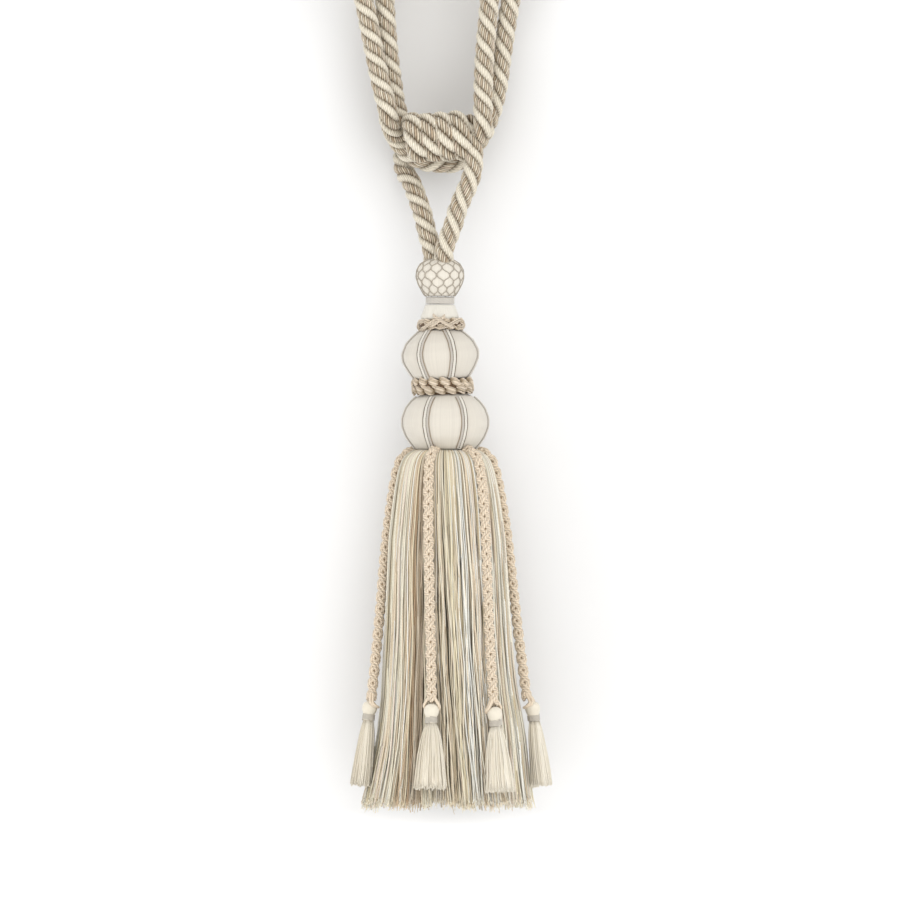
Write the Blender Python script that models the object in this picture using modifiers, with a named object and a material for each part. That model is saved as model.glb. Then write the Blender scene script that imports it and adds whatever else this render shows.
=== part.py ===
"""Curtain tieback with a key tassel: rope embrace, wrapped knot, covered head, cut skirt and six hangers.

Lengths in the tables are millimetres (MM turns them into metres). Heights are measured from the waist,
where the lower bulb meets the skirt, and the whole part then drops so that its origin is the point at the
top of the rope loops that holds it. X runs across, Y away from the front, and an angle of 0 degrees on the
tassel faces the front (-Y) and grows towards +X.
"""
import random
from math import acos, atan2, cos, pi, radians, sin

import bmesh
import bpy
from mathutils import Matrix, Vector

MM = 0.001
GAP = 0.3  # clearance between neighbouring pieces
CURVE_SAMPLES = 20  # points worked out between two points of a route
CORD_STEP = 2.6  # rings of a plain cord lie this many diameters apart

# Rope of the embrace, the knot and the two legs: four plies laid left-handed.
ROPE_DIAMETER = 11.0
ROPE_GROOVE = 9.4  # diameter across the grooves between plies
ROPE_LAY = 27.0
RINGS_PER_LAY = 8
PLIES = 4
LOOP_RADIUS = 22.0  # bend of the end loops, two rope diameters
ARM_TOP = 247.5  # height where the arms open into their end loops
HANG_HEIGHT = 308.5  # height of the rope loops' top: the origin
LOOP_HALF_GAP = 5.7

# Wrapped knot: turns of the suspension rope wound on the X axis round the embrace.
KNOT_CENTRE = (-4.8, 0.0, 173.6)
KNOT_LENGTH = 36.4
KNOT_HALF_DEPTH = 12.0
KNOT_HALF_HEIGHT = 14.0
KNOT_TURNS = 4
KNOT_ROWS_PER_TURN = 4
KNOT_STEPS = 36
KNOT_END_SHARE = 0.6  # radius of the knot's flat ends, as a share of its half height
KNOT_VALLEY = 1.9  # depth of the hollow between two turns
KNOT_PLY_RELIEF = 0.7
KNOT_PLIES_AROUND = 12

# Head: heights above the waist, radii of each covered mould.
NECK_AXIS_X = -3.3
UPPER_PIVOT = (-2.0, 0.0, 35.0)  # the upper bulb leans about this point
UPPER_LEAN = radians(-3.5)
LOWER_AXIS_X = -0.4
NET_CELLS = 12
NET_RELIEF = 0.5
RIB_HALF_WIDTH = 1.7  # two thin cords side by side
RIB_CREST = 0.65
RIB_VALLEY = 0.4
RIB_STAND_OFF = RIB_CREST + GAP + 0.3
RIB_END_CLEARANCE = 1.0  # no ring of a rib lies closer than this to its ends
SLOPE_STEP = 0.5  # reach each way when a profile's slope is measured
RUFF_FOLD = 0.4  # how far a ruff draws in between two of its loops

# Skirt and hangers.
SKIRT_LOCKS_AROUND = 50
SKIRT_LEAN = 0.012  # sideways drift of the skirt's axis for each unit of depth
SKIRT_HEM = 194.5
HEM_UNEVENNESS = 3.0
BACKING_RADIUS = 15.4
BACKING_TAPER = 0.6
BACKING_THICKNESS = 1.8
BACKING_ROW = 2.4  # width of each ring of roots on the backing's underside
LOCK_FILL = 0.8  # share of its pitch that a lock fills
LOCK_ROOT_SHARE = 0.7  # thickness of a lock where it leaves the backing
SHOULDER_SLANT = radians(50)
LOCK_RINGS = (  # depths of the stations, how far the face lies inside the skirt's, thickness of a lock
    ((3.0, 15.4, 50.6, 137.5, SKIRT_HEM), 0.0, 3.0),
    ((14.0, SKIRT_HEM), 6.6, 3.0),
    ((22.0, SKIRT_HEM), 12.8, 4.0),
)
BRAID_DIAMETER = 5.6
BRAID_CLEARANCE = 0.76  # between a braid and the skirt that it rides over
BRAID_END_GAP = 0.45  # at the middle of an end that is cut square to a slanting braid
BRAID_STAND_OUT = 3.3  # more than that at its lower end
BRAID_STATIONS = (0.025, 0.07, 0.15, 0.3, 0.45, 0.6, 0.8, 1.0)  # shares of a braid's drop
HANGER_START = (20.9, 0.9)  # radius and height of a braid's first point, between bulb and skirt
SMALL_TASSEL_STAND_OUT = 0.4  # of a small head's centre beyond its braid's
SMALL_BACKING = (3.6, 3.2, 0.8, 1.3)  # radius, radius at its top, thickness, width of a ring of roots
SMALL_LOCKS_AROUND = 8
SMALL_LOCK_FILL = 0.7
SMALL_LOCK_RINGS = (  # outer and inner face as shares of the fringe's reach, then rows of (spread, drop)
    (1.0, 0.64, ((0.42, 0.2), (1.0, 1.0))),
    (0.5, 0.2, ((1.0, 1.0),)),
)
SMALL_WAIST = (4.3, 1.35)  # reach towards the skirt at the first row, and how much wider it is along it
SMALL_HEM_UNEVENNESS = 0.8
SMALL_FRINGE_TOP = 8.8  # below the small head's centre
SMALL_FRINGE_LENGTH = 35.4
SMALL_FRINGE_HALF = (5.2, 9.2)  # across the cut end: towards the skirt, then along it
SMALL_TASSEL_SPLAY = radians(6.5)
SMALL_HEAD_ROWS = (  # radius, height above the small head's centre, from the fringe up
    (2.9, -7.6), (2.9, -3.8), (4.0, -1.8), (4.25, 0.6), (3.0, 3.4), (1.2, 4.2),
)
SMALL_BAND_RING = ((3.35, -3.9), (3.85, -3.9), (3.85, -7.4), (3.35, -7.4))

SKIRT_ROWS = (  # depth below the waist, radius of the skirt's outer face
    (0.0, 15.4), (6.0, 24.4), (15.4, 27.3), (29.7, 29.4), (50.6, 31.9), (71.5, 33.0),
    (99.5, 34.7), (137.5, 37.2), (160.0, 40.0), (187.0, 44.0), (200.0, 46.3),
)
HANGER_ROWS = (  # angle at the waist, angle and depth of the small head's centre, how far more it stands out
    (-112.0, -82.0, 141.4, 0.0), (-20.0, -12.6, 142.3, 0.0), (41.0, 34.2, 144.1, 0.0),
    (112.0, 84.0, 141.7, 2.0), (150.0, 152.0, 143.0, 0.25), (212.0, 210.0, 142.0, 0.0),
)
LOWER_RIB_ANGLES = (-88.0, -27.0, 27.0, 88.0, 150.0, 210.0)
UPPER_RIB_ANGLES = (-88.0, -33.0, 20.0, 82.0, 145.0, 210.0)

# Profiles, top to bottom: radius, height above the waist.
BALL_PROFILE = (
    (0.0, 105.2), (4.5, 105.1), (7.4, 104.5), (10.6, 102.4), (12.5, 99.3), (13.0, 95.4),
    (12.0, 91.6), (10.0, 87.7), (8.0, 84.6), (0.0, 84.5),
)
BAND_PROFILE = ((0.0, 84.2), (7.6, 84.2), (8.0, 83.4), (8.0, 81.2), (7.6, 80.4), (0.0, 80.4))
NECK_PROFILE = (
    (0.0, 80.1), (8.1, 80.1), (8.7, 78.3), (9.7, 76.2), (10.3, 74.8), (10.1, 73.8), (7.0, 73.4),
    (7.0, 67.9), (0.0, 67.9),
)
# The next four are measured from the point that the upper bulb leans about.
UPPER_RUFF_RING = (
    (8.6, 36.7), (10.4, 36.8), (12.3, 39.2), (13.1, 36.6), (13.2, 33.4), (12.3, 30.9), (10.4, 31.9),
    (8.6, 32.7),
)
UPPER_BULB_PROFILE = (
    (0.0, 32.2), (8.0, 32.1), (10.6, 31.0), (14.3, 28.0), (18.2, 24.2), (20.7, 18.7), (20.5, 14.9),
    (18.7, 11.0), (16.5, 7.2), (14.2, 4.0), (9.0, 3.4), (9.0, -2.95), (0.0, -2.95),
)
LOWER_RUFF_RING = (
    (9.5, 3.0), (13.6, 3.2), (15.8, 4.6), (17.4, 2.6), (17.8, 0.0), (17.3, -3.0), (15.4, -5.0),
    (12.0, -3.3), (9.5, -2.6),
)
LOWER_BULB_PROFILE = (
    (0.0, 31.2), (12.0, 31.1), (14.7, 29.8), (18.5, 26.7), (21.5, 22.9), (23.4, 17.5), (23.4, 12.9),
    (21.3, 7.4), (18.6, 3.6), (16.2, 0.6), (14.8, 0.0), (0.0, 0.0),
)

# Cord routes: x, y, height above the waist. The end loops are worked out by end_loop().
LEFT_FROM_KNOT = (  # under the knot from behind the right leg, then up the left arm's front strand
    (15.4, 13.0, 160.9), (12.3, 13.1, 158.7), (5.0, 12.5, 158.0), (-3.0, 12.3, 158.0),
    (-10.5, 13.2, 158.8), (-18.5, 15.4, 162.0), (-23.8, 16.2, 166.8), (-27.8, 12.4, 172.4),
    (-29.9, 4.8, 177.0), (-31.4, -1.0, 181.8), (-32.4, -3.6, 188.0), (-35.5, -3.6, 200.0),
    (-39.5, -3.4, 219.0),
)
LEFT_TO_KNOT = (  # down the left arm's rear strand to the back of the knot
    (-31.5, 4.8, 219.0), (-29.0, 8.2, 200.0), (-27.6, 11.0, 190.5), (-25.2, 13.6, 183.2),
)
RIGHT_FROM_KNOT = (  # from behind the right leg, up the right arm's outer strand
    (15.74, 12.98, 161.15), (18.6, 12.8, 163.6), (20.7, 11.6, 168.0), (22.1, 9.9, 173.6),
    (23.8, 8.0, 180.5), (25.9, 6.2, 188.5), (28.6, 4.6, 200.0), (31.2, 3.2, 219.0),
)
RIGHT_TO_KNOT = (  # down the right arm's inner strand, to where it passes behind the right leg's top
    (21.4, -4.0, 219.0), (20.5, -5.6, 200.0), (20.4, -6.3, 187.0), (20.4, -6.6, 177.0),
    (20.3, -6.8, 171.4),
)
LEFT_LOOP_BASE = ((-44.0, -3.2), (-34.2, 3.4))  # x, y of the strand going up, then of the one coming down
RIGHT_LOOP_BASE = ((35.0, 1.6), (24.2, -2.4))
LEFT_LEAN_ANGLE = radians(-11.0)
RIGHT_LEAN_ANGLE = radians(9.0)
LEFT_LEG_ROUTE = (  # from the ball, behind the embrace, to the back of the knot
    (-7.3, 4.8, 105.9), (-7.9, 4.9, 111.0), (-10.4, 6.0, 119.6), (-12.7, 8.0, 129.3),
    (-15.8, 11.6, 138.6), (-19.2, 17.0, 147.6), (-22.8, 23.2, 153.6), (-23.9, 27.8, 160.5),
    (-21.2, 28.8, 170.0), (-17.0, 25.8, 177.5), (-12.8, 20.4, 181.4),
)
RIGHT_LEG_ROUTE = (  # from the ball, up to the end of the knot
    (-1.2, -4.8, 105.9), (-0.7, -4.9, 111.0), (1.6, -5.2, 117.5), (4.4, -5.6, 125.0),
    (6.4, -5.8, 132.5), (9.0, -6.0, 141.0), (12.8, -6.4, 149.5), (17.0, -6.8, 157.5),
    (19.7, -7.0, 165.0), (20.2, -6.9, 170.9),
)

# Colours, linear RGB, with roughness.
CREAM = ((0.80, 0.73, 0.60, 1.0), 0.75)
IVORY_THREAD = ((0.83, 0.78, 0.68, 1.0), 0.55)
ROPE_YARN = ((0.62, 0.53, 0.42, 1.0), 0.8)
TAUPE = ((0.48, 0.40, 0.32, 1.0), 0.8)
GREY_THREAD = ((0.56, 0.52, 0.47, 1.0), 0.5)
SKIRT_YARN = ((0.66, 0.57, 0.44, 1.0), 0.7)


def clear_scene():
    for obj in list(bpy.data.objects):
        bpy.data.objects.remove(obj, do_unlink=True)


def new_collection(name):
    collection = bpy.data.collections.new(name)
    bpy.context.scene.collection.children.link(collection)
    return collection


def finish_material(name, finish):
    colour, roughness = finish
    material = bpy.data.materials.new(name)
    material.use_nodes = True
    shader = material.node_tree.nodes["Principled BSDF"]
    shader.inputs["Base Color"].default_value = colour
    shader.inputs["Roughness"].default_value = roughness
    shader.inputs["Metallic"].default_value = 0.0
    return material


def place(obj, finish, location=(0.0, 0.0, 0.0), rotation=(0.0, 0.0, 0.0)):
    """Put a finished piece on the part's root, at a place given in millimetres."""
    parts.objects.link(obj)
    obj.parent = root
    obj.location = Vector(location) * MM
    obj.rotation_euler = rotation
    obj.data.materials.clear()
    obj.data.materials.append(finish_material(obj.name, finish))
    return obj


def front_angle(degrees):
    """Turn an angle from the front (-Y) towards +X into a rotation about Z of a profile that lies at +X."""
    return radians(degrees) - pi / 2


def around(degrees, radius):
    return radius * sin(radians(degrees)), -radius * cos(radians(degrees))


def between(rows, value):
    """Read a two-column table at a value, in straight lines from row to row."""
    for low, high in zip(rows, rows[1:]):
        if value <= high[0]:
            share = (value - low[0]) / (high[0] - low[0])
            return low[1] + share * (high[1] - low[1])
    return rows[-1][1]


def smooth_route(points, step):
    """Sample a Catmull-Rom curve through the points at even steps."""
    knots = [Vector(p) for p in points]
    knots = [2 * knots[0] - knots[1]] + knots + [2 * knots[-1] - knots[-2]]
    dense = []
    for a, b, c, d in zip(knots, knots[1:], knots[2:], knots[3:]):
        for i in range(CURVE_SAMPLES):
            t = i / CURVE_SAMPLES
            dense.append(0.5 * (2 * b + (c - a) * t + (2 * a - 5 * b + 4 * c - d) * t * t
                                + (3 * b - a - 3 * c + d) * t ** 3))
    dense.append(knots[-2])
    lengths = [0.0]
    for a, b in zip(dense, dense[1:]):
        lengths.append(lengths[-1] + (b - a).length)
    count = max(2, round(lengths[-1] / step))
    samples, at = [], 0
    for i in range(count + 1):
        target = lengths[-1] * i / count
        while at < len(dense) - 2 and lengths[at + 1] < target:
            at += 1
        span = lengths[at + 1] - lengths[at]
        samples.append(dense[at].lerp(dense[at + 1], (target - lengths[at]) / span))
    return samples


def end_loop(base, lean):
    """A teardrop bight at an arm's end: strands part on arcs and meet over the top, leaning with the arm."""
    (up_x, up_y), (down_x, down_y) = base
    side = 1 if up_x > down_x else -1
    part_angle = acos((LOOP_HALF_GAP + LOOP_RADIUS) / (2 * LOOP_RADIUS))
    rise = 2 * LOOP_RADIUS * sin(part_angle)
    half = []
    for step in range(3):
        turn = part_angle * (step + 0.6) / 3
        half.append((LOOP_HALF_GAP + LOOP_RADIUS * (1 - cos(turn)), LOOP_RADIUS * sin(turn)))
    for step in range(6):
        turn = -part_angle + (part_angle + pi / 2) * step / 5
        half.append((LOOP_RADIUS * cos(turn), rise + LOOP_RADIUS * sin(turn)))
    outline = half + [(-x, z) for x, z in reversed(half[:-1])]
    points = []
    for i, (x, z) in enumerate(outline):
        points.append((
            (up_x + down_x) / 2 + side * x * cos(lean) + z * sin(lean),
            up_y + (down_y - up_y) * i / (len(outline) - 1),
            ARM_TOP - side * x * sin(lean) + z * cos(lean),
        ))
    return points


def rope_section():
    """The rope's cross-section: one crest for each ply, one groove between plies."""
    curve = bpy.data.curves.new("rope_section", "CURVE")
    curve.dimensions = "2D"
    spline = curve.splines.new("POLY")
    corners = 2 * PLIES
    spline.points.add(corners - 1)
    for i in range(corners):
        radius = (ROPE_GROOVE if i % 2 else ROPE_DIAMETER) / 2 * MM
        angle = -pi * i / PLIES
        spline.points[i].co = (radius * cos(angle), radius * sin(angle), 0, 1)
    spline.use_cyclic_u = True
    section = bpy.data.objects.new("rope_section", curve)
    section.hide_render = True
    section.display_type = "WIRE"
    guides.objects.link(section)
    return section


def route_curve(name, samples):
    curve = bpy.data.curves.new(name, "CURVE")
    curve.dimensions = "3D"
    curve.use_fill_caps = True
    spline = curve.splines.new("POLY")
    spline.points.add(len(samples) - 1)
    for point, place_mm in zip(spline.points, samples):
        point.co = (*(Vector(place_mm) * MM), 1)
    return curve


def laid_rope(name, route):
    """A rope solid that follows its route, its four plies twisting once in each lay."""
    samples = smooth_route(route, ROPE_LAY / RINGS_PER_LAY)
    curve = route_curve(name, samples)
    for i, point in enumerate(curve.splines[0].points):
        point.tilt = -2 * pi * i / RINGS_PER_LAY
    curve.bevel_mode = "OBJECT"
    curve.bevel_object = section_of_rope
    return place(bpy.data.objects.new(name, curve), ROPE_YARN)


def round_cord(name, route, diameter, finish):
    samples = smooth_route(route, CORD_STEP * diameter)
    curve = route_curve(name, samples)
    curve.bevel_depth = diameter / 2 * MM
    curve.bevel_resolution = 2
    return place(bpy.data.objects.new(name, curve), finish)


def turned(name, profile, steps, finish, location=(0.0, 0.0, 0.0), lean=0.0, ring=False, relief=None):
    """Turn a profile about Z. A ring's profile is a closed outline; relief moves each point of the result."""
    mesh = bpy.data.meshes.new(name)
    edges = [(i, i + 1) for i in range(len(profile) - 1)]
    if ring:
        edges.append((len(profile) - 1, 0))
    mesh.from_pydata([(radius * MM, 0, height * MM) for radius, height in profile], edges, [])
    obj = bpy.data.objects.new(name, mesh)
    place(obj, finish, location, (0.0, lean, 0.0))
    screw = obj.modifiers.new("turn", "SCREW")
    screw.steps = screw.render_steps = steps
    screw.use_merge_vertices = True
    screw.merge_threshold = 0.00001
    screw.use_smooth_shade = True
    if relief:
        make_real(obj)
        for vertex in obj.data.vertices:
            vertex.co = relief(vertex.co / MM) * MM
    return obj


def make_real(obj):
    """Apply an object's modifiers to a mesh of its own."""
    graph = bpy.context.evaluated_depsgraph_get()
    mesh = bpy.data.meshes.new_from_object(obj.evaluated_get(graph))
    obj.modifiers.clear()
    obj.data = mesh


def polar(co):
    return (co.x ** 2 + co.y ** 2) ** 0.5, atan2(co.y, co.x)


def scaled_round(co, factor):
    return Vector((co.x * factor, co.y * factor, co.z))


def build_ball():
    """The small top mould under a net of rounded diamonds: crossings stand proud, cell middles do not."""
    heights = [height for radius, height in BALL_PROFILE if radius > 0]

    def net(co):
        radius, angle = polar(co)
        if radius < 1:
            return co
        column = round(angle / (pi / NET_CELLS))
        row = min(range(len(heights)), key=lambda i: abs(heights[i] - co.z))
        proud = (column + row) % 2 == 0
        return scaled_round(co, (radius + (NET_RELIEF if proud else 0.0)) / (radius + NET_RELIEF))

    turned("ball", BALL_PROFILE, 2 * NET_CELLS, IVORY_THREAD, (NECK_AXIS_X, 0, 0), relief=net)


def knuckled(count, swell, middle_radius, middle_height):
    """Relief of a ruff: plump loops of cord side by side round the ring, drawn in at the folds between."""
    def relief(co):
        radius, angle = polar(co)
        if radius < middle_radius:
            return co
        drawn_in = 1 - swell * (1 - abs(cos(angle * count / 2)))
        new_radius = middle_radius + (radius - middle_radius) * drawn_in
        factor = new_radius / radius
        return Vector((co.x * factor, co.y * factor, middle_height + (co.z - middle_height) * drawn_in))
    return relief


def build_head():
    build_ball()
    turned("ball_band", BAND_PROFILE, 20, GREY_THREAD, (NECK_AXIS_X, 0, 0))
    turned("neck", NECK_PROFILE, 20, IVORY_THREAD, (NECK_AXIS_X, 0, 0))
    turned("upper_ruff", UPPER_RUFF_RING, 36, TAUPE, UPPER_PIVOT, UPPER_LEAN, ring=True,
           relief=knuckled(18, RUFF_FOLD, 10.0, 34.6))
    turned("upper_bulb", UPPER_BULB_PROFILE, 30, IVORY_THREAD, UPPER_PIVOT, UPPER_LEAN)
    turned("lower_ruff", LOWER_RUFF_RING, 40, TAUPE, UPPER_PIVOT, UPPER_LEAN, ring=True,
           relief=knuckled(20, RUFF_FOLD, 12.8, 0.0))
    turned("lower_bulb", LOWER_BULB_PROFILE, 32, IVORY_THREAD, (LOWER_AXIS_X, 0, 0))


def rib_section():
    """Two thin twisted cords side by side, as one outline."""
    curve = bpy.data.curves.new("rib_section", "CURVE")
    curve.dimensions = "2D"
    outline = (
        (RIB_CREST, RIB_HALF_WIDTH / 2), (RIB_VALLEY, 0), (RIB_CREST, -RIB_HALF_WIDTH / 2),
        (0, -RIB_HALF_WIDTH), (-RIB_CREST, -RIB_HALF_WIDTH / 2), (-RIB_CREST, RIB_HALF_WIDTH / 2),
        (0, RIB_HALF_WIDTH),
    )
    spline = curve.splines.new("POLY")
    spline.points.add(len(outline) - 1)
    for point, (x, y) in zip(spline.points, outline):
        point.co = (x * MM, y * MM, 0, 1)
    spline.use_cyclic_u = True
    section = bpy.data.objects.new("rib_section", curve)
    section.hide_render = True
    section.display_type = "WIRE"
    guides.objects.link(section)
    return section


def build_ribs(prefix, profile, angles, location, lean, low, high):
    """Pairs of thin cord laid over a bulb from pole to pole, clear of its thread by the usual gap."""
    rows = sorted((height, radius) for radius, height in profile if radius > 0)
    between_ends = [height for height, _ in reversed(rows)
                    if low + RIB_END_CLEARANCE < height < high - RIB_END_CLEARANCE]
    heights = [high] + between_ends + [low]
    for index, degrees in enumerate(angles, start=1):
        curve = bpy.data.curves.new(f"{prefix}_rib_{index}", "CURVE")
        curve.dimensions = "2D"
        curve.fill_mode = "NONE"
        curve.use_fill_caps = True
        curve.bevel_mode = "OBJECT"
        curve.bevel_object = section_of_rib
        spline = curve.splines.new("POLY")
        spline.points.add(len(heights) - 1)
        for point, height in zip(spline.points, heights):
            rise = between(rows, height + SLOPE_STEP) - between(rows, height - SLOPE_STEP)
            out = Vector((2 * SLOPE_STEP, -rise)).normalized() * RIB_STAND_OFF
            point.co = ((between(rows, height) + out.x) * MM, (height + out.y) * MM, 0, 1)
        obj = bpy.data.objects.new(curve.name, curve)
        place(obj, GREY_THREAD, location)
        turn = Matrix.Rotation(lean, 4, "Y") @ Matrix.Rotation(front_angle(degrees), 4, "Z")
        obj.rotation_euler = (turn @ Matrix.Rotation(pi / 2, 4, "X")).to_euler()


def draw_out(mesh, face, place_corner, steps):
    """Extrude one face step by step; place_corner(step, root) puts each corner, known by where it started."""
    track = [(vertex.co.copy(), vertex.co.copy()) for vertex in face.verts]
    for step in range(1, steps + 1):
        face = bmesh.ops.extrude_discrete_faces(mesh, faces=[face])["faces"][0]
        moved = []
        for vertex in face.verts:
            root_co = min(track, key=lambda pair: (pair[0] - vertex.co).length)[1]
            vertex.co = place_corner(step, root_co)
            moved.append((vertex.co.copy(), root_co))
        track = moved


def backing(mesh, segments, radius, top_radius, top, thickness, row, rows):
    """A thin round backing; returns the rings of faces on its underside, outermost first."""
    bmesh.ops.create_cone(mesh, cap_ends=True, segments=segments, radius1=radius, radius2=top_radius,
                          depth=thickness, matrix=Matrix.Translation((0, 0, top - thickness / 2)))
    mesh.faces.ensure_lookup_table()
    centre = min(mesh.faces, key=lambda face: face.calc_center_median().z)
    rings = []
    for _ in range(rows):
        ring = bmesh.ops.inset_region(mesh, faces=[centre], thickness=row, use_even_offset=True)["faces"]
        rings.append(sorted(ring, key=lambda face: polar(face.calc_center_median())[1]))
    return rings


def mesh_object(name, mesh, finish, location=(0.0, 0.0, 0.0), rotation=(0.0, 0.0, 0.0)):
    bmesh.ops.recalc_face_normals(mesh, faces=mesh.faces)
    bmesh.ops.scale(mesh, vec=(MM, MM, MM), verts=mesh.verts)
    data = bpy.data.meshes.new(name)
    mesh.to_mesh(data)
    mesh.free()
    return place(bpy.data.objects.new(name, data), finish, location, rotation)


def build_skirt():
    """Cut yarn skirt: a backing under the bulb, with three rings of locks that spread over the shoulder."""
    draw = random.Random(7)
    mesh = bmesh.new()
    rings = backing(mesh, SKIRT_LOCKS_AROUND, BACKING_RADIUS - BACKING_TAPER, BACKING_RADIUS, -GAP,
                    BACKING_THICKNESS, BACKING_ROW, len(LOCK_RINGS))
    pitch = 2 * pi / SKIRT_LOCKS_AROUND
    for ring, (depths, inside, thick) in zip(rings, LOCK_RINGS):
        for face in ring:
            middle_radius, middle_angle = polar(face.calc_center_median())
            hem = draw.uniform(-HEM_UNEVENNESS, HEM_UNEVENNESS)

            def corner(step, root_co):
                radius, angle = polar(root_co)
                depth = depths[step - 1]
                on_shoulder = step == 1 and inside == 0
                face_radius = between(SKIRT_ROWS, depth) - inside
                inner = radius < middle_radius
                slant = SHOULDER_SLANT if on_shoulder else 0.0
                lock = thick * (LOCK_ROOT_SHARE if step == 1 else 1.0)
                new_radius = face_radius - (lock * cos(slant) if inner else 0.0)
                offset = (angle - middle_angle + pi) % (2 * pi) - pi
                turn = middle_angle + pitch * LOCK_FILL / 2 * (1 if offset > 0 else -1)
                sink = depth + (lock * sin(slant) if inner else 0.0)
                if step == len(depths):
                    sink += hem
                return Vector((new_radius * cos(turn) + SKIRT_LEAN * depth, new_radius * sin(turn), -sink))

            draw_out(mesh, face, corner, len(depths))
    mesh_object("skirt", mesh, SKIRT_YARN)


def hanger_radius(depth, share):
    """A braid rides over the skirt and comes away from it a little towards its small tassel."""
    return between(SKIRT_ROWS, depth) + BRAID_DIAMETER / 2 + BRAID_CLEARANCE + BRAID_STAND_OUT * share ** 3


def build_hangers():
    head_top = max(height for radius, height in SMALL_HEAD_ROWS)
    for index, (top_angle, low_angle, head_depth, stand_out) in enumerate(HANGER_ROWS, start=1):
        braid_end = head_depth - head_top - BRAID_END_GAP
        route = [(*around(top_angle, HANGER_START[0]), HANGER_START[1])]
        for share in BRAID_STATIONS:
            depth = braid_end * share
            degrees = top_angle + (low_angle - top_angle) * share
            x, y = around(degrees, hanger_radius(depth, share))
            route.append((x + SKIRT_LEAN * depth, y, -depth))
        round_cord(f"hanger_{index}", route, BRAID_DIAMETER, CREAM)
        x, y = around(low_angle, hanger_radius(head_depth, 1.0) + SMALL_TASSEL_STAND_OUT + stand_out)
        seat = (x + SKIRT_LEAN * head_depth, y, -head_depth)
        build_small_tassel(index, seat, front_angle(low_angle))


def build_small_tassel(index, seat, turn):
    """A round head, a bound waist and a cut fringe, flatter towards the skirt than along it."""
    draw = random.Random(100 + index)
    mesh = bmesh.new()
    radius, top_radius, thickness, row = SMALL_BACKING
    rings = backing(mesh, SMALL_LOCKS_AROUND, radius, top_radius, thickness - SMALL_FRINGE_TOP,
                    thickness, row, len(SMALL_LOCK_RINGS))
    top = max(mesh.faces, key=lambda face: face.calc_center_median().z)

    def head_corner(step, root_co):
        radius, height = SMALL_HEAD_ROWS[step - 1]
        angle = polar(root_co)[1]
        return Vector((radius * cos(angle), radius * sin(angle), height))

    draw_out(mesh, top, head_corner, len(SMALL_HEAD_ROWS))
    pitch = 2 * pi / SMALL_LOCKS_AROUND
    waist, widening = SMALL_WAIST
    for ring, (outer, inner, shares) in zip(rings, SMALL_LOCK_RINGS):
        for face in ring:
            middle_radius, middle_angle = polar(face.calc_center_median())
            hem = draw.uniform(-SMALL_HEM_UNEVENNESS, SMALL_HEM_UNEVENNESS)

            def corner(step, root_co):
                spread, drop = shares[step - 1]
                radius, angle = polar(root_co)
                offset = (angle - middle_angle + pi) % (2 * pi) - pi
                angle = middle_angle + pitch * SMALL_LOCK_FILL / 2 * (1 if offset > 0 else -1)
                reach = outer if radius > middle_radius else inner
                towards, along = (half * spread * reach for half in SMALL_FRINGE_HALF)
                if spread < 1:
                    towards, along = waist * reach, along * widening
                across = 1 / ((cos(angle) / towards) ** 2 + (sin(angle) / along) ** 2) ** 0.5
                low = SMALL_FRINGE_TOP + SMALL_FRINGE_LENGTH * drop + (hem if drop == 1 else 0)
                return Vector((across * cos(angle), across * sin(angle), -low))

            draw_out(mesh, face, corner, len(shares))
    rotation = (Matrix.Rotation(turn, 4, "Z") @ Matrix.Rotation(-SMALL_TASSEL_SPLAY, 4, "Y")).to_euler()
    mesh_object(f"small_tassel_{index}", mesh, CREAM, seat, rotation)
    band = turned(f"small_band_{index}", SMALL_BAND_RING, 12, GREY_THREAD, seat, ring=True)
    band.rotation_euler = rotation


def build_knot():
    """The suspension rope wound round the embrace, its turns side by side, as one solid on the X axis."""
    pitch = KNOT_LENGTH / KNOT_TURNS
    count = KNOT_TURNS * KNOT_ROWS_PER_TURN
    end_radius = KNOT_HALF_HEIGHT * KNOT_END_SHARE
    profile = [(0.0, KNOT_LENGTH / 2), (end_radius, KNOT_LENGTH / 2)]
    for i in range(count):
        along = KNOT_LENGTH / 2 - (i + 0.5) * KNOT_LENGTH / count
        crest = abs(cos(pi * ((i + 0.5) / KNOT_ROWS_PER_TURN - 0.5)))
        profile.append((KNOT_HALF_HEIGHT - KNOT_PLY_RELIEF - KNOT_VALLEY * (1 - crest), along))
    profile += [(end_radius, -KNOT_LENGTH / 2), (0.0, -KNOT_LENGTH / 2)]

    def wound(co):
        radius, angle = polar(co)
        if radius < 1:
            return co
        across = (co.z + KNOT_LENGTH / 2) / pitch % 1.0 - 0.5
        on_end = abs(co.z) > KNOT_LENGTH / 2 - 0.5
        ply = 0.0 if on_end else KNOT_PLY_RELIEF * cos(PLIES * pi * across + KNOT_PLIES_AROUND * angle)
        factor = (radius + ply) / radius
        return Vector((co.x * factor, co.y * factor * KNOT_HALF_DEPTH / KNOT_HALF_HEIGHT, co.z))

    turned("knot", profile, KNOT_STEPS, ROPE_YARN, KNOT_CENTRE, pi / 2, relief=wound)


def build_ropes():
    laid_rope("embrace_left",
              LEFT_FROM_KNOT + tuple(end_loop(LEFT_LOOP_BASE, LEFT_LEAN_ANGLE)) + LEFT_TO_KNOT)
    laid_rope("embrace_right",
              RIGHT_FROM_KNOT + tuple(end_loop(RIGHT_LOOP_BASE, RIGHT_LEAN_ANGLE)) + RIGHT_TO_KNOT)
    laid_rope("leg_left", LEFT_LEG_ROUTE)
    laid_rope("leg_right", RIGHT_LEG_ROUTE)


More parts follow.
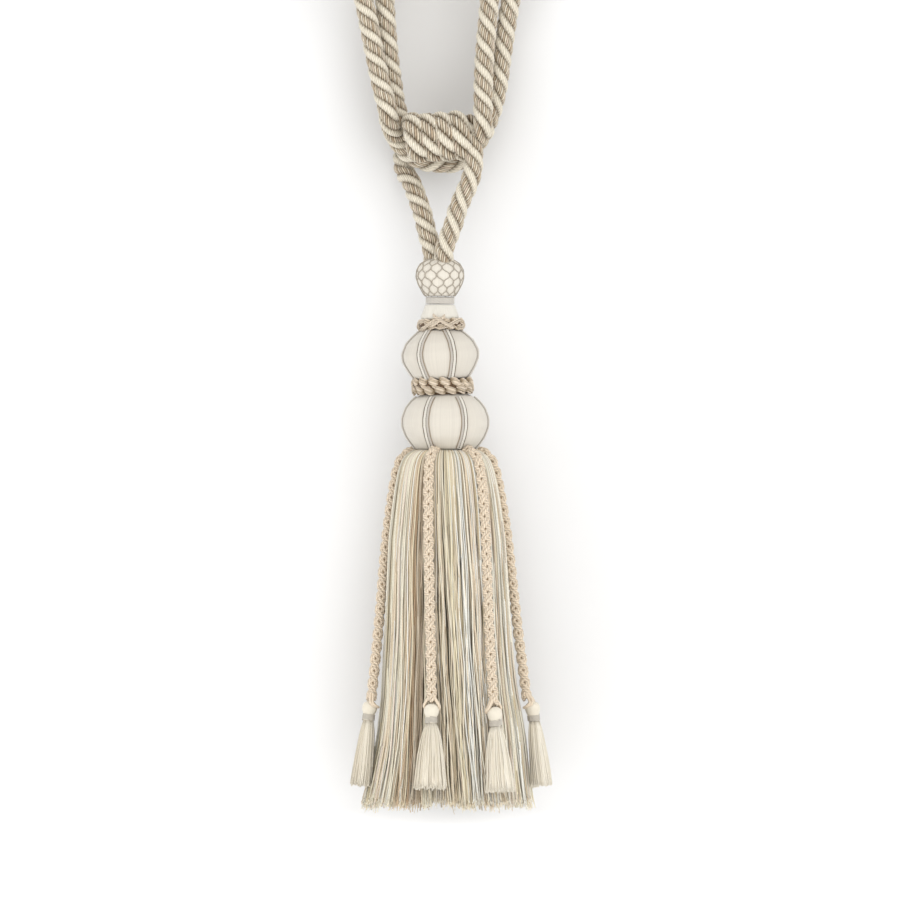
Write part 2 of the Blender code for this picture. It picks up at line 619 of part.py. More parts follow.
clear_scene()
parts = new_collection("curtain_tieback_tassel")
guides = new_collection("guides")
root = bpy.data.objects.new("tieback", None)
parts.objects.link(root)
root.location = (0.0, 0.0, -HANG_HEIGHT * MM)
section_of_rope = rope_section()
section_of_rib = rib_section()
build_ropes()
build_knot()
build_head()
build_ribs("upper", UPPER_BULB_PROFILE, UPPER_RIB_ANGLES, UPPER_PIVOT, UPPER_LEAN, 6.0, 29.8)
build_ribs("lower", LOWER_BULB_PROFILE, LOWER_RIB_ANGLES, (LOWER_AXIS_X, 0.0, 0.0), 0.0, 1.8, 27.8)
build_skirt()
build_hangers()
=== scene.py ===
"""Looks of the curtain tieback tassel: laid ropes, netted head, ruffs, yarn skirt, plaits and small tassels.

Tables are in millimetres, with heights above the waist where the lower bulb meets the skirt, as in the part's
source; to_row() turns them into metres in the part's frame. An angle of 0 degrees on the tassel faces the
front (-Y) and grows towards +X.
"""
from math import acos, cos, pi, radians, sin

import bpy
import numpy as np
from mathutils import Matrix, Vector


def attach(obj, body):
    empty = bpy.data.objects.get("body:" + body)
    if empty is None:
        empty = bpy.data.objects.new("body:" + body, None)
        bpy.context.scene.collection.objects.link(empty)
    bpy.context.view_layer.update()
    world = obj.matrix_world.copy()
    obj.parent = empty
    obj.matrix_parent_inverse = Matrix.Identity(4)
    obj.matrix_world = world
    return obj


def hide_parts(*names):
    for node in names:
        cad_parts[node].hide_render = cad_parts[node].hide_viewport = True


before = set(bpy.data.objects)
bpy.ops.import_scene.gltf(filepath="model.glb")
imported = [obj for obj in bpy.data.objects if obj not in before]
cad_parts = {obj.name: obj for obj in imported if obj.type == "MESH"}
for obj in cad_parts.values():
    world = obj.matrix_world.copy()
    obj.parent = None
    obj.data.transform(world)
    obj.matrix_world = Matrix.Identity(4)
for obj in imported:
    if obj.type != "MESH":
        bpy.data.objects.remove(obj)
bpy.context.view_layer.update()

MM = 0.001
HANG_HEIGHT = 308.5  # height of the rope loops' top, which is the part's origin

# Rope: two cream and two taupe plies laid left-handed, each ply laid right-handed from its yarns.
ROPE_DIAMETER = 11.0
ROPE_LAY = 27.0
ROPE_STEP = 1.25
PLY_LAY = 10.2
CREAM_PLY = (2.5, 3.1, 12, 0.07)  # radius, distance from the rope's axis, yarns, depth of their grooves
TAUPE_PLY = (2.75, 2.75, 11, 0.16)
FIBRES_PER_MM = 0.5  # loose ends that stand off the rope
LOOP_RADIUS = 22.0
LOOP_HALF_GAP = 5.7
ARM_TOP = 247.5

# Knot: turns of the suspension rope round the X axis.
KNOT_HEIGHT = 172.3
KNOT_DEPTH_RADIUS = 7.2
KNOT_HEIGHT_RADIUS = 8.7
KNOT_TURNS = 4
KNOT_FIRST_X = -18.8
KNOT_MIDDLE_X = -3.0
KNOT_PITCH = 8.1
KNOT_SPREAD = 1.14  # the turns press into each other, wider than the rope runs free
KNOT_SLOPE = 0.06  # the knot stands higher on its right
KNOT_STEPS = 12  # points a turn
KNOT_END = ((12.6, 1.6, 179.4), (14.4, -1.0, 172.6))

# Head.
NECK_PLACE = (-3.3, 0.0, 0.0)
UPPER_PIVOT = (-2.0, 0.0, 35.0)
UPPER_LEAN = radians(-3.5)
LOWER_PLACE = (-0.4, 0.0, 0.0)
NET_CELLS = 12
NET_ROWS = 6
RIB_LAY = 2.4
UPPER_TIE_DOWN = ((-7.2, -12.4, 74.2), (-3.1, -13.6, 71.2), (0.6, -13.6, 69.0), (4.0, -12.6, 67.2))
UPPER_TIE_UP = ((-0.6, -12.8, 73.9), (-2.8, -13.2, 71.8), (-5.0, -13.2, 70.0), (-8.4, -11.6, 68.0))

# Skirt, plaits and small tassels.
SKIRT_LEAN = 0.012
SKIRT_HEM = 191.4
SKIRT_TWIST = 9.0  # degrees that the front yarns drift to the right on their way down
HEM_FLARE = 3.4  # the hem stands out by this much more on its left
RIGHT_SWELL = 2.2  # and on its right behind the small tassel
PLAIT_TURN = 13.8  # length in which a strand of a plait goes once round it
PLAIT_OFF_SKIRT = 2.36  # from the skirt's face to the axis of a plait
PLAIT_STAND_OUT = 3.6  # more than that at its lower end
PLAIT_END = 4.75  # above the small head's centre
SMALL_TASSEL_STAND_OUT = 0.4
SMALL_FRINGE_TOP = 7.4
SMALL_FRINGE_LENGTH = 35.4
SMALL_TASSEL_SPLAY = radians(6.5)
SMALL_FRINGE_HALF = (5.9, 9.2)  # at the hem: outwards from the skirt, and along it
SMALL_FRINGE_ROOT = 2.7  # half its width at its top
SMALL_FRINGE_OPENING = ((0.0, 0.0), (0.06, 0.16), (0.2, 0.42), (0.55, 0.74), (1.0, 1.0))  # way down, way out

SKIRT_ROWS = (  # depth below the waist, radius of the skirt's outer face
    (0.0, 16.0), (0.6, 18.6), (1.8, 20.9), (3.6, 23.0), (6.0, 24.6), (10.0, 26.1), (15.4, 27.3), (22.0, 28.4),
    (29.7, 29.4), (50.6, 31.9), (71.5, 33.0), (99.5, 34.7), (137.5, 37.2), (160.0, 40.0), (187.0, 44.0),
    (200.0, 46.3),
)
HANGER_ROWS = (  # angle at the waist, angle and depth of the small head's centre, how far more it stands out
    (-112.0, -82.0, 141.4, 0.0), (-20.0, -12.6, 142.3, 0.0), (41.0, 34.2, 144.1, 0.0),
    (112.0, 84.0, 141.7, 2.0), (150.0, 152.0, 143.0, 0.25), (212.0, 210.0, 142.0, 0.0),
)
LOWER_RIB_ANGLES = (-88.0, -27.0, 27.0, 88.0, 150.0, 210.0)
UPPER_RIB_ANGLES = (-88.0, -33.0, 20.0, 82.0, 145.0, 210.0)

# Profiles, top to bottom: radius, height above the waist.
BALL_PROFILE = (
    (0.0, 105.2), (4.5, 105.1), (7.4, 104.5), (10.6, 102.4), (12.5, 99.3), (13.0, 95.4),
    (12.0, 91.6), (10.0, 87.7), (8.0, 84.6), (0.0, 84.5),
)
NECK_PROFILE = (
    (0.0, 80.1), (8.1, 80.1), (8.6, 78.4), (9.5, 76.2), (10.3, 74.2), (10.8, 72.4), (10.4, 71.4),
    (7.0, 71.0), (7.0, 67.9), (0.0, 67.9),
)
UPPER_BULB_PROFILE = (  # from the point that the upper bulb leans about
    (0.0, 32.2), (8.0, 32.1), (10.6, 31.0), (14.3, 28.0), (18.2, 24.2), (20.7, 18.7), (20.5, 14.9),
    (18.7, 11.0), (16.5, 7.2), (14.2, 4.0), (9.0, 3.4), (9.0, -2.95), (0.0, -2.95),
)
LOWER_BULB_PROFILE = (
    (0.0, 31.2), (12.0, 31.1), (14.7, 29.8), (18.5, 26.7), (21.5, 22.9), (23.4, 17.5), (23.4, 12.9),
    (21.3, 7.4), (18.6, 3.6), (16.2, 0.6), (14.8, 0.0), (0.0, 0.0),
)
SMALL_HEAD_PROFILE = (  # from the small head's centre
    (0.0, 3.6), (1.8, 3.4), (3.3, 2.4), (4.1, 0.8), (4.2, -0.4), (3.9, -2.0), (3.3, -3.4), (2.9, -4.4),
    (2.9, -7.6), (0.0, -7.7),
)

# Rope routes: x, y, height above the waist.
LEFT_FROM_KNOT = (
    (12.2, 13.2, 163.2), (9.0, 13.1, 160.0), (4.5, 12.5, 158.2), (-3.0, 12.3, 158.0),
    (-10.5, 13.2, 158.8), (-18.5, 15.4, 162.0), (-23.8, 16.2, 166.8), (-27.8, 12.4, 172.4),
    (-29.9, 4.8, 177.0), (-31.4, -1.0, 181.8), (-32.4, -3.6, 188.0), (-35.5, -3.6, 200.0),
    (-39.5, -3.4, 219.0),
)
LEFT_TO_KNOT = (
    (-31.5, 4.8, 219.0), (-29.0, 8.2, 200.0), (-27.6, 10.4, 190.5), (-25.4, 11.8, 183.2), (-22.0, 11.6, 176.6),
    (-17.0, 9.6, 172.0),
)
RIGHT_FROM_KNOT = (
    (15.6, 13.2, 167.6), (19.0, 12.4, 172.0), (21.8, 10.6, 177.0), (23.8, 8.0, 182.5),
    (25.9, 6.2, 188.5), (28.6, 4.6, 200.0), (31.2, 3.2, 219.0),
)
RIGHT_TO_KNOT = (
    (21.4, -4.0, 219.0), (20.5, -5.6, 200.0), (20.4, -6.6, 187.0), (20.3, -6.8, 180.5), (19.9, -5.6, 175.8),
    (18.2, -1.0, 172.6), (13.6, 4.0, 172.4), (7.0, 5.4, 172.6),
)
RIGHT_LEG_DOWN = (
    (15.0, -3.0, 165.5), (15.2, -4.4, 159.0), (14.5, -5.4, 153.0), (12.9, -6.2, 147.0),
    (9.2, -6.0, 139.0), (6.2, -5.8, 131.5), (4.4, -5.6, 125.0), (1.6, -5.2, 117.5),
    (-0.7, -4.9, 111.0), (-1.2, -4.8, 105.9), (-1.5, -4.0, 102.0),
)
LEFT_LEG_UP = (
    (-6.8, 4.0, 102.0), (-7.3, 4.8, 105.9), (-7.9, 4.9, 111.0), (-10.4, 6.0, 119.6),
    (-12.7, 8.0, 129.3), (-15.8, 11.6, 138.6), (-19.2, 17.0, 147.6), (-22.8, 23.2, 153.6),
    (-23.9, 27.8, 160.5), (-21.2, 28.4, 168.0), (-18.6, 24.8, 174.4), (-17.6, 17.6, 178.6),
    (-18.2, 9.2, 180.6),
)
LEFT_LOOP = ((-44.0, -3.2), (-34.2, 3.4), radians(-11.0))  # x, y of the strand going up, of the other, lean
RIGHT_LOOP = ((35.0, 1.6), (24.2, -2.4), radians(9.0))


# ---- geometry

def to_row(points):
    """Millimetres above the waist to metres in the part's frame."""
    return (np.asarray(points, float) - (0.0, 0.0, HANG_HEIGHT)) * MM


def around(degrees, radius):
    return radius * sin(radians(degrees)), -radius * cos(radians(degrees))


def ring_points(reach, angle, height):
    """Points at a reach and an angle round the Z axis, and at a height."""
    return np.stack(np.broadcast_arrays(reach * np.cos(angle), reach * np.sin(angle), height), axis=-1)


def read_rows(rows, value):
    """Read a two-column table, in straight lines from row to row."""
    table = np.array(rows)
    return np.interp(value, table[:, 0], table[:, 1])


def arc_lengths(line):
    steps = np.linalg.norm(np.diff(line, axis=-2), axis=-1)
    return np.concatenate([np.zeros_like(steps[..., :1]), np.cumsum(steps, axis=-1)], axis=-1)


def even_points(line, count):
    """That many points at even steps along a line."""
    lengths = arc_lengths(line)
    at = np.linspace(0.0, lengths[-1], count)
    return np.stack([np.interp(at, lengths, column) for column in line.T], axis=1)


def even_steps(line, step, least=2):
    return even_points(line, max(least, round(arc_lengths(line)[-1] / step)) + 1)


def smooth_route(points, step):
    """Sample a Catmull-Rom curve through the points at even steps."""
    knots = np.array(points, float)
    knots = np.vstack([2 * knots[0] - knots[1], knots, 2 * knots[-1] - knots[-2]])
    t = (np.arange(20) / 20)[:, None]
    spans = []
    for a, b, c, d in zip(knots, knots[1:], knots[2:], knots[3:]):
        spans.append(0.5 * (2 * b + (c - a) * t + (2 * a - 5 * b + 4 * c - d) * t * t
                            + (3 * b - a - 3 * c + d) * t ** 3))
    return even_steps(np.vstack([*spans, knots[-2]]), step)


def end_loop(going_up, coming_down, lean):
    """A teardrop bight at an arm's end: strands part on arcs and meet over the top, leaning with the arm."""
    (up_x, up_y), (down_x, down_y) = going_up, coming_down
    side = 1 if up_x > down_x else -1
    part_angle = acos((LOOP_HALF_GAP + LOOP_RADIUS) / (2 * LOOP_RADIUS))
    rise = 2 * LOOP_RADIUS * sin(part_angle)
    half = []
    for step in range(3):
        turn = part_angle * (step + 0.6) / 3
        half.append((LOOP_HALF_GAP + LOOP_RADIUS * (1 - cos(turn)), LOOP_RADIUS * sin(turn)))
    for step in range(6):
        turn = -part_angle + (part_angle + pi / 2) * step / 5
        half.append((LOOP_RADIUS * cos(turn), rise + LOOP_RADIUS * sin(turn)))
    outline = half + [(-x, z) for x, z in reversed(half[:-1])]
    return tuple((
        (up_x + down_x) / 2 + side * x * cos(lean) + z * sin(lean),
        up_y + (down_y - up_y) * i / (len(outline) - 1),
        ARM_TOP - side * x * sin(lean) + z * cos(lean),
    ) for i, (x, z) in enumerate(outline))


def unit(vectors):
    return vectors / np.linalg.norm(vectors, axis=-1, keepdims=True)


def square_to(tangents, vectors):
    """The part of each vector that is square to its tangent, at a length of 1."""
    return unit(vectors - tangents * np.sum(vectors * tangents, axis=-1, keepdims=True))


def toward(turn, across, up):
    """Directions at a turn from one normal to the other."""
    return np.cos(turn)[..., None] * across + np.sin(turn)[..., None] * up


def carried_frames(lines):
    """Tangent and two normals along each line of an (M, N, 3) array, carried along without twist."""
    tangents = unit(np.gradient(lines, axis=1))
    first = tangents[:, 0]
    helper = np.where(np.abs(first[:, 2:3]) > 0.8, (1.0, 0.0, 0.0), (0.0, 0.0, 1.0))
    normals = np.zeros_like(lines)
    normal = square_to(first, helper)
    for i in range(lines.shape[1]):
        normal = normals[:, i] = square_to(tangents[:, i], normal)
    return tangents, normals, np.cross(tangents, normals)


def facing_frames(lines, outward):
    """Tangent and two normals along each line, the first normal as near to the given directions as it can be."""
    tangents = unit(np.gradient(lines, axis=1))
    normals = square_to(tangents, outward)
    return tangents, normals, np.cross(tangents, normals)


def add_object(name, data):
    obj = bpy.data.objects.new(name, data)
    bpy.context.scene.collection.objects.link(obj)
    return obj


class Bundle:
    """Tubes gathered into one mesh.

    Each point of the surface knows the turn round its tube and the millimetres along it (the UV map "wind"),
    and each tube has a tint, a random seed and a share of contrast between its yarns.
    """

    def __init__(self):
        self.points, self.faces, self.winds = [], [], []
        self.tints, self.seeds, self.contrasts = [], [], []
        self.count = 0

    def add_grid(self, rings, winds, tint, seed=0.0, contrast=0.0, repeats=1):
        """Rings of points, an (M, N, K, 3) array, joined into tubes; winds holds (M, N) lengths along them.

        repeats is the number of times that the turn is counted round the tube.
        """
        tubes, stations, sides = rings.shape[:3]
        index = self.count + np.arange(tubes * stations * sides).reshape(tubes, stations, sides)
        beside = np.roll(index, -1, axis=2)
        quads = np.stack([index[:, :-1], beside[:, :-1], beside[:, 1:], index[:, 1:]], axis=-1)
        turn = repeats * np.arange(sides) / sides
        step = repeats / sides
        low, high = winds[:, :-1, None], winds[:, 1:, None]
        corners = ((turn, low), (turn + step, low), (turn + step, high), (turn, high))
        wind = np.stack([np.stack(np.broadcast_arrays(*corner), axis=-1) for corner in corners], axis=-2)
        self.faces.append(quads.reshape(-1, 4))
        self.winds.append(wind.reshape(-1, 4, 2))
        for ring, at in ((index[:, 0, ::-1], winds[:, 0]), (index[:, -1], winds[:, -1])):
            self.faces.append(ring)
            cap = np.zeros((tubes, sides, 2))
            cap[..., 1] = at[:, None]
            self.winds.append(cap)
        self.points.append(rings.reshape(-1, 3))
        each = stations * sides
        tint = np.asarray(tint, float)
        if tint.ndim < 3:
            tint = np.broadcast_to(tint, (tubes, 3))[:, None, None]
        self.tints.append(np.broadcast_to(tint, rings.shape).reshape(-1, 3))
        self.seeds.append(np.repeat(np.broadcast_to(seed, (tubes,)), each))
        self.contrasts.append(np.repeat(np.broadcast_to(contrast, (tubes,)), each))
        self.count += tubes * each

    def add(self, lines, radii, sides, tint, seed=0.0, frames=None, spin=0.0, section=None, turns=None):
        """Tubes along (M, N, 3) lines; section and turns give the reach and the angle of each side if not round."""
        lines = np.asarray(lines, float)
        if lines.ndim == 2:
            lines = lines[None]
        _, across, up = frames or carried_frames(lines)
        section = np.ones(sides) if section is None else section
        turns = 2 * pi * np.arange(sides) / sides if turns is None else turns
        angles = turns + np.broadcast_to(spin, lines.shape[:2])[..., None]
        reach = np.broadcast_to(radii, lines.shape[:2])[..., None] * section
        rings = lines[:, :, None] + reach[..., None] * toward(angles, across[:, :, None], up[:, :, None])
        self.add_grid(rings, arc_lengths(lines), tint, seed)

    def build(self, name, material, slot, *nodes):
        """Make the mesh object, let it ride on the part, and hide the solids that it stands for."""
        loops = np.concatenate([group.ravel() for group in self.faces])
        sizes = np.concatenate([np.full(len(group), group.shape[1]) for group in self.faces])
        mesh = bpy.data.meshes.new(name)
        mesh.vertices.add(self.count)
        mesh.vertices.foreach_set("co", to_row(np.vstack(self.points)).ravel())
        mesh.loops.add(len(loops))
        mesh.loops.foreach_set("vertex_index", loops.astype(np.int32))
        mesh.polygons.add(len(sizes))
        mesh.polygons.foreach_set("loop_start", (np.cumsum(sizes) - sizes).astype(np.int32))
        mesh.update(calc_edges=True)
        mesh.shade_smooth()
        wind = mesh.uv_layers.new(name="wind")
        wind.data.foreach_set("uv", np.concatenate([group.ravel() for group in self.winds]))
        tint = mesh.attributes.new("tint", "FLOAT_COLOR", "POINT")
        colours = np.ones((self.count, 4))
        colours[:, :3] = np.vstack(self.tints)
        tint.data.foreach_set("color", colours.ravel())
        for label, values in (("seed", self.seeds), ("contrast", self.contrasts)):
            attribute = mesh.attributes.new(label, "FLOAT", "POINT")
            attribute.data.foreach_set("value", np.concatenate(values).astype(np.float32))
        mesh.materials.append(material)
        obj = add_object(name, mesh)
        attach(obj, "root")
        if nodes:
            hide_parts(*nodes)
        return obj


def placed(points, location, lean=0.0):
    """Points of a piece in its own axes, leant about Y and moved to its place."""
    return np.asarray(points, float) @ np.array(Matrix.Rotation(lean, 3, "Y")).T + np.asarray(location, float)


def smooth_profile(profile, step):
    """A profile's points joined by a soft curve, its first and last point just off the axis."""
    points = np.array([(max(radius, 0.05), height) for radius, height in profile])
    dense = even_steps(points, step, least=8)
    for _ in range(3):
        dense[1:-1] = 0.5 * dense[1:-1] + 0.25 * (dense[:-2] + dense[2:])
    return dense


# ---- colours and materials

ALBEDO = 0.8  # what a surface gives back of the light that would show it in its display colour


def srgb(red, green, blue):
    """The colour of a surface that shows as this display colour, of 0 to 255, in full light."""
    values = np.array((red, green, blue)) / 255
    return ALBEDO * np.where(values <= 0.04045, values / 12.92, ((values + 0.055) / 1.055) ** 2.4)


ROPE_CREAM = srgb(252, 244, 226)
ROPE_YARNS = (  # round a taupe ply
    srgb(222, 205, 180), srgb(244, 235, 216), srgb(206, 188, 163), srgb(246, 235, 212), srgb(230, 212, 192),
    srgb(216, 205, 184), srgb(238, 223, 198), srgb(202, 181, 154), srgb(234, 223, 203), srgb(212, 195, 172),
    srgb(242, 231, 208),
)
ROPE_GROOVE_SHADE = np.array((0.19, 0.145, 0.09))  # painted shade: share of a yarn's colour left in the groove beside it, and deep between the plies
CREAM_GROOVE_SHADE = (0.6, 0.55, 0.47)  # painted shade: the same in a cream ply
BULB_IVORY = srgb(231, 224, 211)
NECK_IVORY = srgb(248, 243, 231)
NET_GREY = srgb(194, 184, 168)
BAND_GREY = srgb(220, 214, 204)
RUFF_TAN = srgb(248, 231, 208)
# painted shade: the dark rings behind the ruffs' yarns
RUFF_SHADE = srgb(104, 80, 56)
PLAIT_CREAM = srgb(246, 228, 203)
RIB_LIGHT = srgb(252, 247, 236)
RIB_GREY = srgb(214, 207, 197)
# painted shade: the thin dark lines along the edges of the light rib cord
RIB_EDGE_SHADE = srgb(118, 102, 82)
FRINGE_CREAM = 1.04 * srgb(254, 245, 226)
STAGE_WHITE = (0.80, 0.80, 0.80, 1.0)
# painted shadow on the wall between the ropes
STAGE_SHADE = (0.47, 0.455, 0.425, 1.0)
SKIRT_COLOURS = {
    "ivory": srgb(255, 252, 240),
    "cream": srgb(255, 247, 224),
    "ecru": srgb(250, 236, 208),
    "sand": srgb(240, 222, 193),
    "taupe": srgb(226, 209, 185),
    "brown": srgb(232, 204, 170),
    "grey": srgb(238, 233, 221),
    "stone": srgb(230, 220, 201),
    "pink": srgb(246, 230, 212),
    "yellow": srgb(254, 242, 210),
}
WARM_SHADE = (1.0, 1.17, 1.5)  # powers that turn a shade of grey into the brown of shaded yarn
COMMON_COLOURS = ("cream", "ivory", "ecru", "cream", "sand", "taupe", "pink", "grey", "ivory", "yellow")


class Graph:
    """A material's nodes, added an expression at a time."""

    def __init__(self, name, roughness, sheen=0.0, specular=0.3):
        self.material = bpy.data.materials.new(name)
        self.material.use_nodes = True
        self.tree = self.material.node_tree
        self.shader = self.tree.nodes["Principled BSDF"]
        for label, value in (("Roughness", roughness), ("Specular IOR Level", specular), ("Sheen Weight", sheen),
                             ("Sheen Roughness", 0.5)):
            self.shader.inputs[label].default_value = value

    def node(self, kind, **settings):
        node = self.tree.nodes.new(kind)
        for key, value in settings.items():
            setattr(node, key, value)
        return node

    def put(self, value, socket):
        if isinstance(value, bpy.types.NodeSocket):
            self.tree.links.new(value, socket)
        else:
            socket.default_value = value

    def math(self, operation, first, second=0.0):
        node = self.node("ShaderNodeMath", operation=operation)
        self.put(first, node.inputs[0])
        self.put(second, node.inputs[1])
        return node.outputs[0]

    def plus(self, first, second):
        return self.math("ADD", first, second)

    def minus(self, first, second):
        return self.math("SUBTRACT", first, second)

    def times(self, first, second):
        return self.math("MULTIPLY", first, second)

    def blend(self, kind, share, first, second):
        node = self.node("ShaderNodeMix", data_type="RGBA", blend_type=kind)
        self.put(share, node.inputs[0])
        self.put(first, node.inputs[6])
        self.put(second, node.inputs[7])
        return node.outputs[2]

    def attribute(self, name, output):
        return self.node("ShaderNodeAttribute", attribute_name=name).outputs[output]

    def vector(self, x, y, z=0.0):
        node = self.node("ShaderNodeCombineXYZ")
        for value, socket in zip((x, y, z), node.inputs):
            self.put(value, socket)
        return node.outputs[0]

    def noise(self, vector, detail):
        node = self.node("ShaderNodeTexNoise")
        self.put(vector, node.inputs["Vector"])
        node.inputs["Scale"].default_value = 1.0
        node.inputs["Detail"].default_value = detail
        return node.outputs["Fac"]

    def ramp(self, value, low, high):
        node = self.node("ShaderNodeMapRange", interpolation_type="SMOOTHSTEP")
        self.put(value, node.inputs["Value"])
        node.inputs["From Min"].default_value = low
        node.inputs["From Max"].default_value = high
        return node.outputs["Result"]


def yarn_material(name, yarns, lay, shade, depth, roughness=0.75, fibre=0.25):
    """Twisted yarn over a tinted tube.

    yarns is the number round the tube, lay the millimetres in which one passes over to the next one's place (0 where
    the mesh already turns with them), shade how dark the painted shade in the grooves gets, depth their depth in mm.
    """
    graph = Graph(name, roughness, sheen=0.15)
    split = graph.node("ShaderNodeSeparateXYZ")
    graph.put(graph.node("ShaderNodeUVMap", uv_map="wind").outputs["UV"], split.inputs[0])
    turn, along = split.outputs[0], split.outputs[1]
    seed = graph.attribute("seed", "Fac")
    phase = graph.plus(graph.times(turn, float(yarns)), graph.times(seed, 7.3))
    if lay:
        phase = graph.plus(phase, graph.math("DIVIDE", along, lay))
    shifted = graph.plus(phase, 0.5)  # crests are whole numbers of the phase
    off_crest = graph.math("ABSOLUTE", graph.minus(graph.math("FRACT", shifted), 0.5))
    groove = graph.ramp(off_crest, 0.22, 0.5)
    number = graph.math("FLOOR", shifted)
    lot = graph.node("ShaderNodeTexWhiteNoise", noise_dimensions="2D")
    graph.put(graph.vector(graph.math("MODULO", number, float(yarns)), seed), lot.inputs["Vector"])
    tone = graph.plus(1.0, graph.times(graph.minus(lot.outputs["Value"], 0.5), graph.attribute("contrast", "Fac")))
    fibres = graph.noise(graph.vector(graph.times(phase, 3.0), graph.times(along, 0.9), seed), 3.0)
    patches = graph.noise(graph.vector(seed, graph.times(along, 0.05), turn), 1.0)
    light = graph.times(tone, graph.plus(1.0 - fibre / 2, graph.times(fibres, fibre)))
    light = graph.times(light, graph.plus(0.97, graph.times(patches, 0.06)))
    # painted shade in the grooves between the yarns
    light = graph.times(light, graph.minus(1.0, graph.times(groove, shade)))
    tinted = graph.blend("MULTIPLY", 1.0, graph.attribute("tint", "Color"), graph.vector(light, light, light))
    graph.put(tinted, graph.shader.inputs["Base Color"])
    height = graph.plus(graph.minus(1.0, groove), graph.times(fibres, 0.5))
    bump = graph.node("ShaderNodeBump")
    bump.inputs["Strength"].default_value = 1.0
    bump.inputs["Distance"].default_value = depth * MM
    graph.put(height, bump.inputs["Height"])
    graph.put(bump.outputs["Normal"], graph.shader.inputs["Normal"])
    return graph.material


# ---- ropes

def ply_section(yarns, colours, groove):
    """Angles, reach and colours of a ply's outline: two shoulders and a groove for each yarn, the groove darkened
    with painted shade.
    """
    yarn = np.arange(yarns)
    turns = 2 * pi * (yarn[:, None] + (-0.22, 0.22, 0.5)) / yarns
    tints = np.array(colours)[yarn % len(colours), None] * ((1.0, 1.0, 1.0), (1.0, 1.0, 1.0), ROPE_GROOVE_SHADE)
    return turns.ravel(), np.tile((1.0, 1.0, 1 - groove), yarns), tints.reshape(-1, 3)


def add_fibres(bundle, centre, seed):
    """Short loose fibres that stand off a rope, each bending along it."""
    draw = np.random.default_rng(seed)
    count = int(arc_lengths(centre)[-1] * FIBRES_PER_MM)
    at = draw.integers(2, len(centre) - 2, count)
    tangents, across, up = (axes[0][at] for axes in carried_frames(centre[None]))
    outward = toward(draw.uniform(0, 2 * pi, count), across, up)
    along = tangents * draw.normal(0.0, 1.0, (count, 1))
    along = along + np.cross(outward, tangents) * draw.normal(0.0, 0.8, (count, 1))
    reach = draw.uniform(0.3, 1.3, (count, 1))
    root = centre[at] + outward * 0.43 * ROPE_DIAMETER
    lines = [root, root + 0.6 * along + 0.7 * outward, root + 1.5 * along + (0.6 + reach) * outward]
    bundle.add(np.stack(lines, axis=1), 0.11, 3, ROPE_CREAM, seed=seed)


def add_rope(bundle, centre, start_turn, spread=None):
    """Four plies twisting left-handed along a centreline, their meshes turning with their own yarns.

    spread widens the rope along X, station by station, where the turns of the knot press into each other.
    """
    line = centre[None]
    _, across, up = carried_frames(line)
    along = arc_lengths(line)
    twist = start_turn - 2 * pi * along / ROPE_LAY
    spin = 2 * pi * along / PLY_LAY
    for ply in range(4):
        cream = ply % 2 == 0
        radius, offset, yarns, groove = CREAM_PLY if cream else TAUPE_PLY
        colours = (ROPE_CREAM, ROPE_CREAM * 0.95) if cream else np.roll(ROPE_YARNS, ply * 2, axis=0)
        turns, reach, tints = ply_section(yarns, colours, groove)
        if cream:
            # painted shade in the grooves between the yarns of a cream ply
            tints[2::3] = ROPE_CREAM * CREAM_GROOVE_SHADE
        turn = twist + ply * pi / 2
        outward = toward(turn, across, up)
        ply_line = line + offset * outward
        frames = facing_frames(ply_line, outward)
        facing = np.cos(turns + spin[..., None])  # 1 on the rope's outside, -1 at its heart
        inside = np.clip((0.74 - facing) / 0.46, 0, 1) ** 1.3  # painted shade between the plies: how far this side of the ply faces in
        shade = 1 - inside[..., None] * (1 - ROPE_GROOVE_SHADE)
        bundle.add(ply_line, radius, len(turns), tints * shade, seed=ply + 0.37, frames=frames, spin=spin,
                   section=reach, turns=turns)
        if spread is not None:
            rings = bundle.points[-1].reshape(len(centre), -1, 3)
            rings[..., 0] = centre[:, None, 0] + (rings[..., 0] - centre[:, None, 0]) * spread[:, None]
            bundle.points[-1] = rings.reshape(-1, 3)


def build_embrace(material):
    """One rope: the left arm down from the knot's back, under the knot and up the right arm, its end tucked in."""
    route = (LEFT_TO_KNOT[::-1] + end_loop(*LEFT_LOOP)[::-1] + LEFT_FROM_KNOT[::-1]
             + RIGHT_FROM_KNOT + end_loop(*RIGHT_LOOP) + RIGHT_TO_KNOT)
    centre = smooth_route(route, ROPE_STEP)
    bundle = Bundle()
    add_rope(bundle, centre, 0.0)
    add_fibres(bundle, centre, 41)
    obj = bundle.build("embrace_rope", material, "rope", "embrace_left", "embrace_right")


def build_suspension(material):
    """The left leg from the ball, behind the embrace, round the knot and down again as the right leg."""
    turns = []
    for i in range(KNOT_TURNS * KNOT_STEPS - 1):
        turn = 2 * pi * i / KNOT_STEPS
        x = KNOT_FIRST_X + KNOT_PITCH * i / KNOT_STEPS
        height = KNOT_HEIGHT + KNOT_SLOPE * (x - KNOT_MIDDLE_X)
        turns.append((x, -KNOT_DEPTH_RADIUS * sin(turn), height + KNOT_HEIGHT_RADIUS * cos(turn)))
    centre = smooth_route(LEFT_LEG_UP + tuple(turns) + KNOT_END + RIGHT_LEG_DOWN, ROPE_STEP)
    first = np.argmin(np.linalg.norm(centre - np.array(turns[0]), axis=1))
    last = np.argmin(np.linalg.norm(centre - np.array(turns[-1]), axis=1))
    place = np.arange(len(centre))
    share = np.clip((place - first + 8) / 12, 0, 1) * np.clip((last + 4 - place) / 12, 0, 1)
    bundle = Bundle()
    add_rope(bundle, centre, 0.4, 1 + (KNOT_SPREAD - 1) * share)
    add_fibres(bundle, centre, 42)
    obj = bundle.build("suspension_rope", material, "rope", "leg_left", "knot", "leg_right")


# ---- head

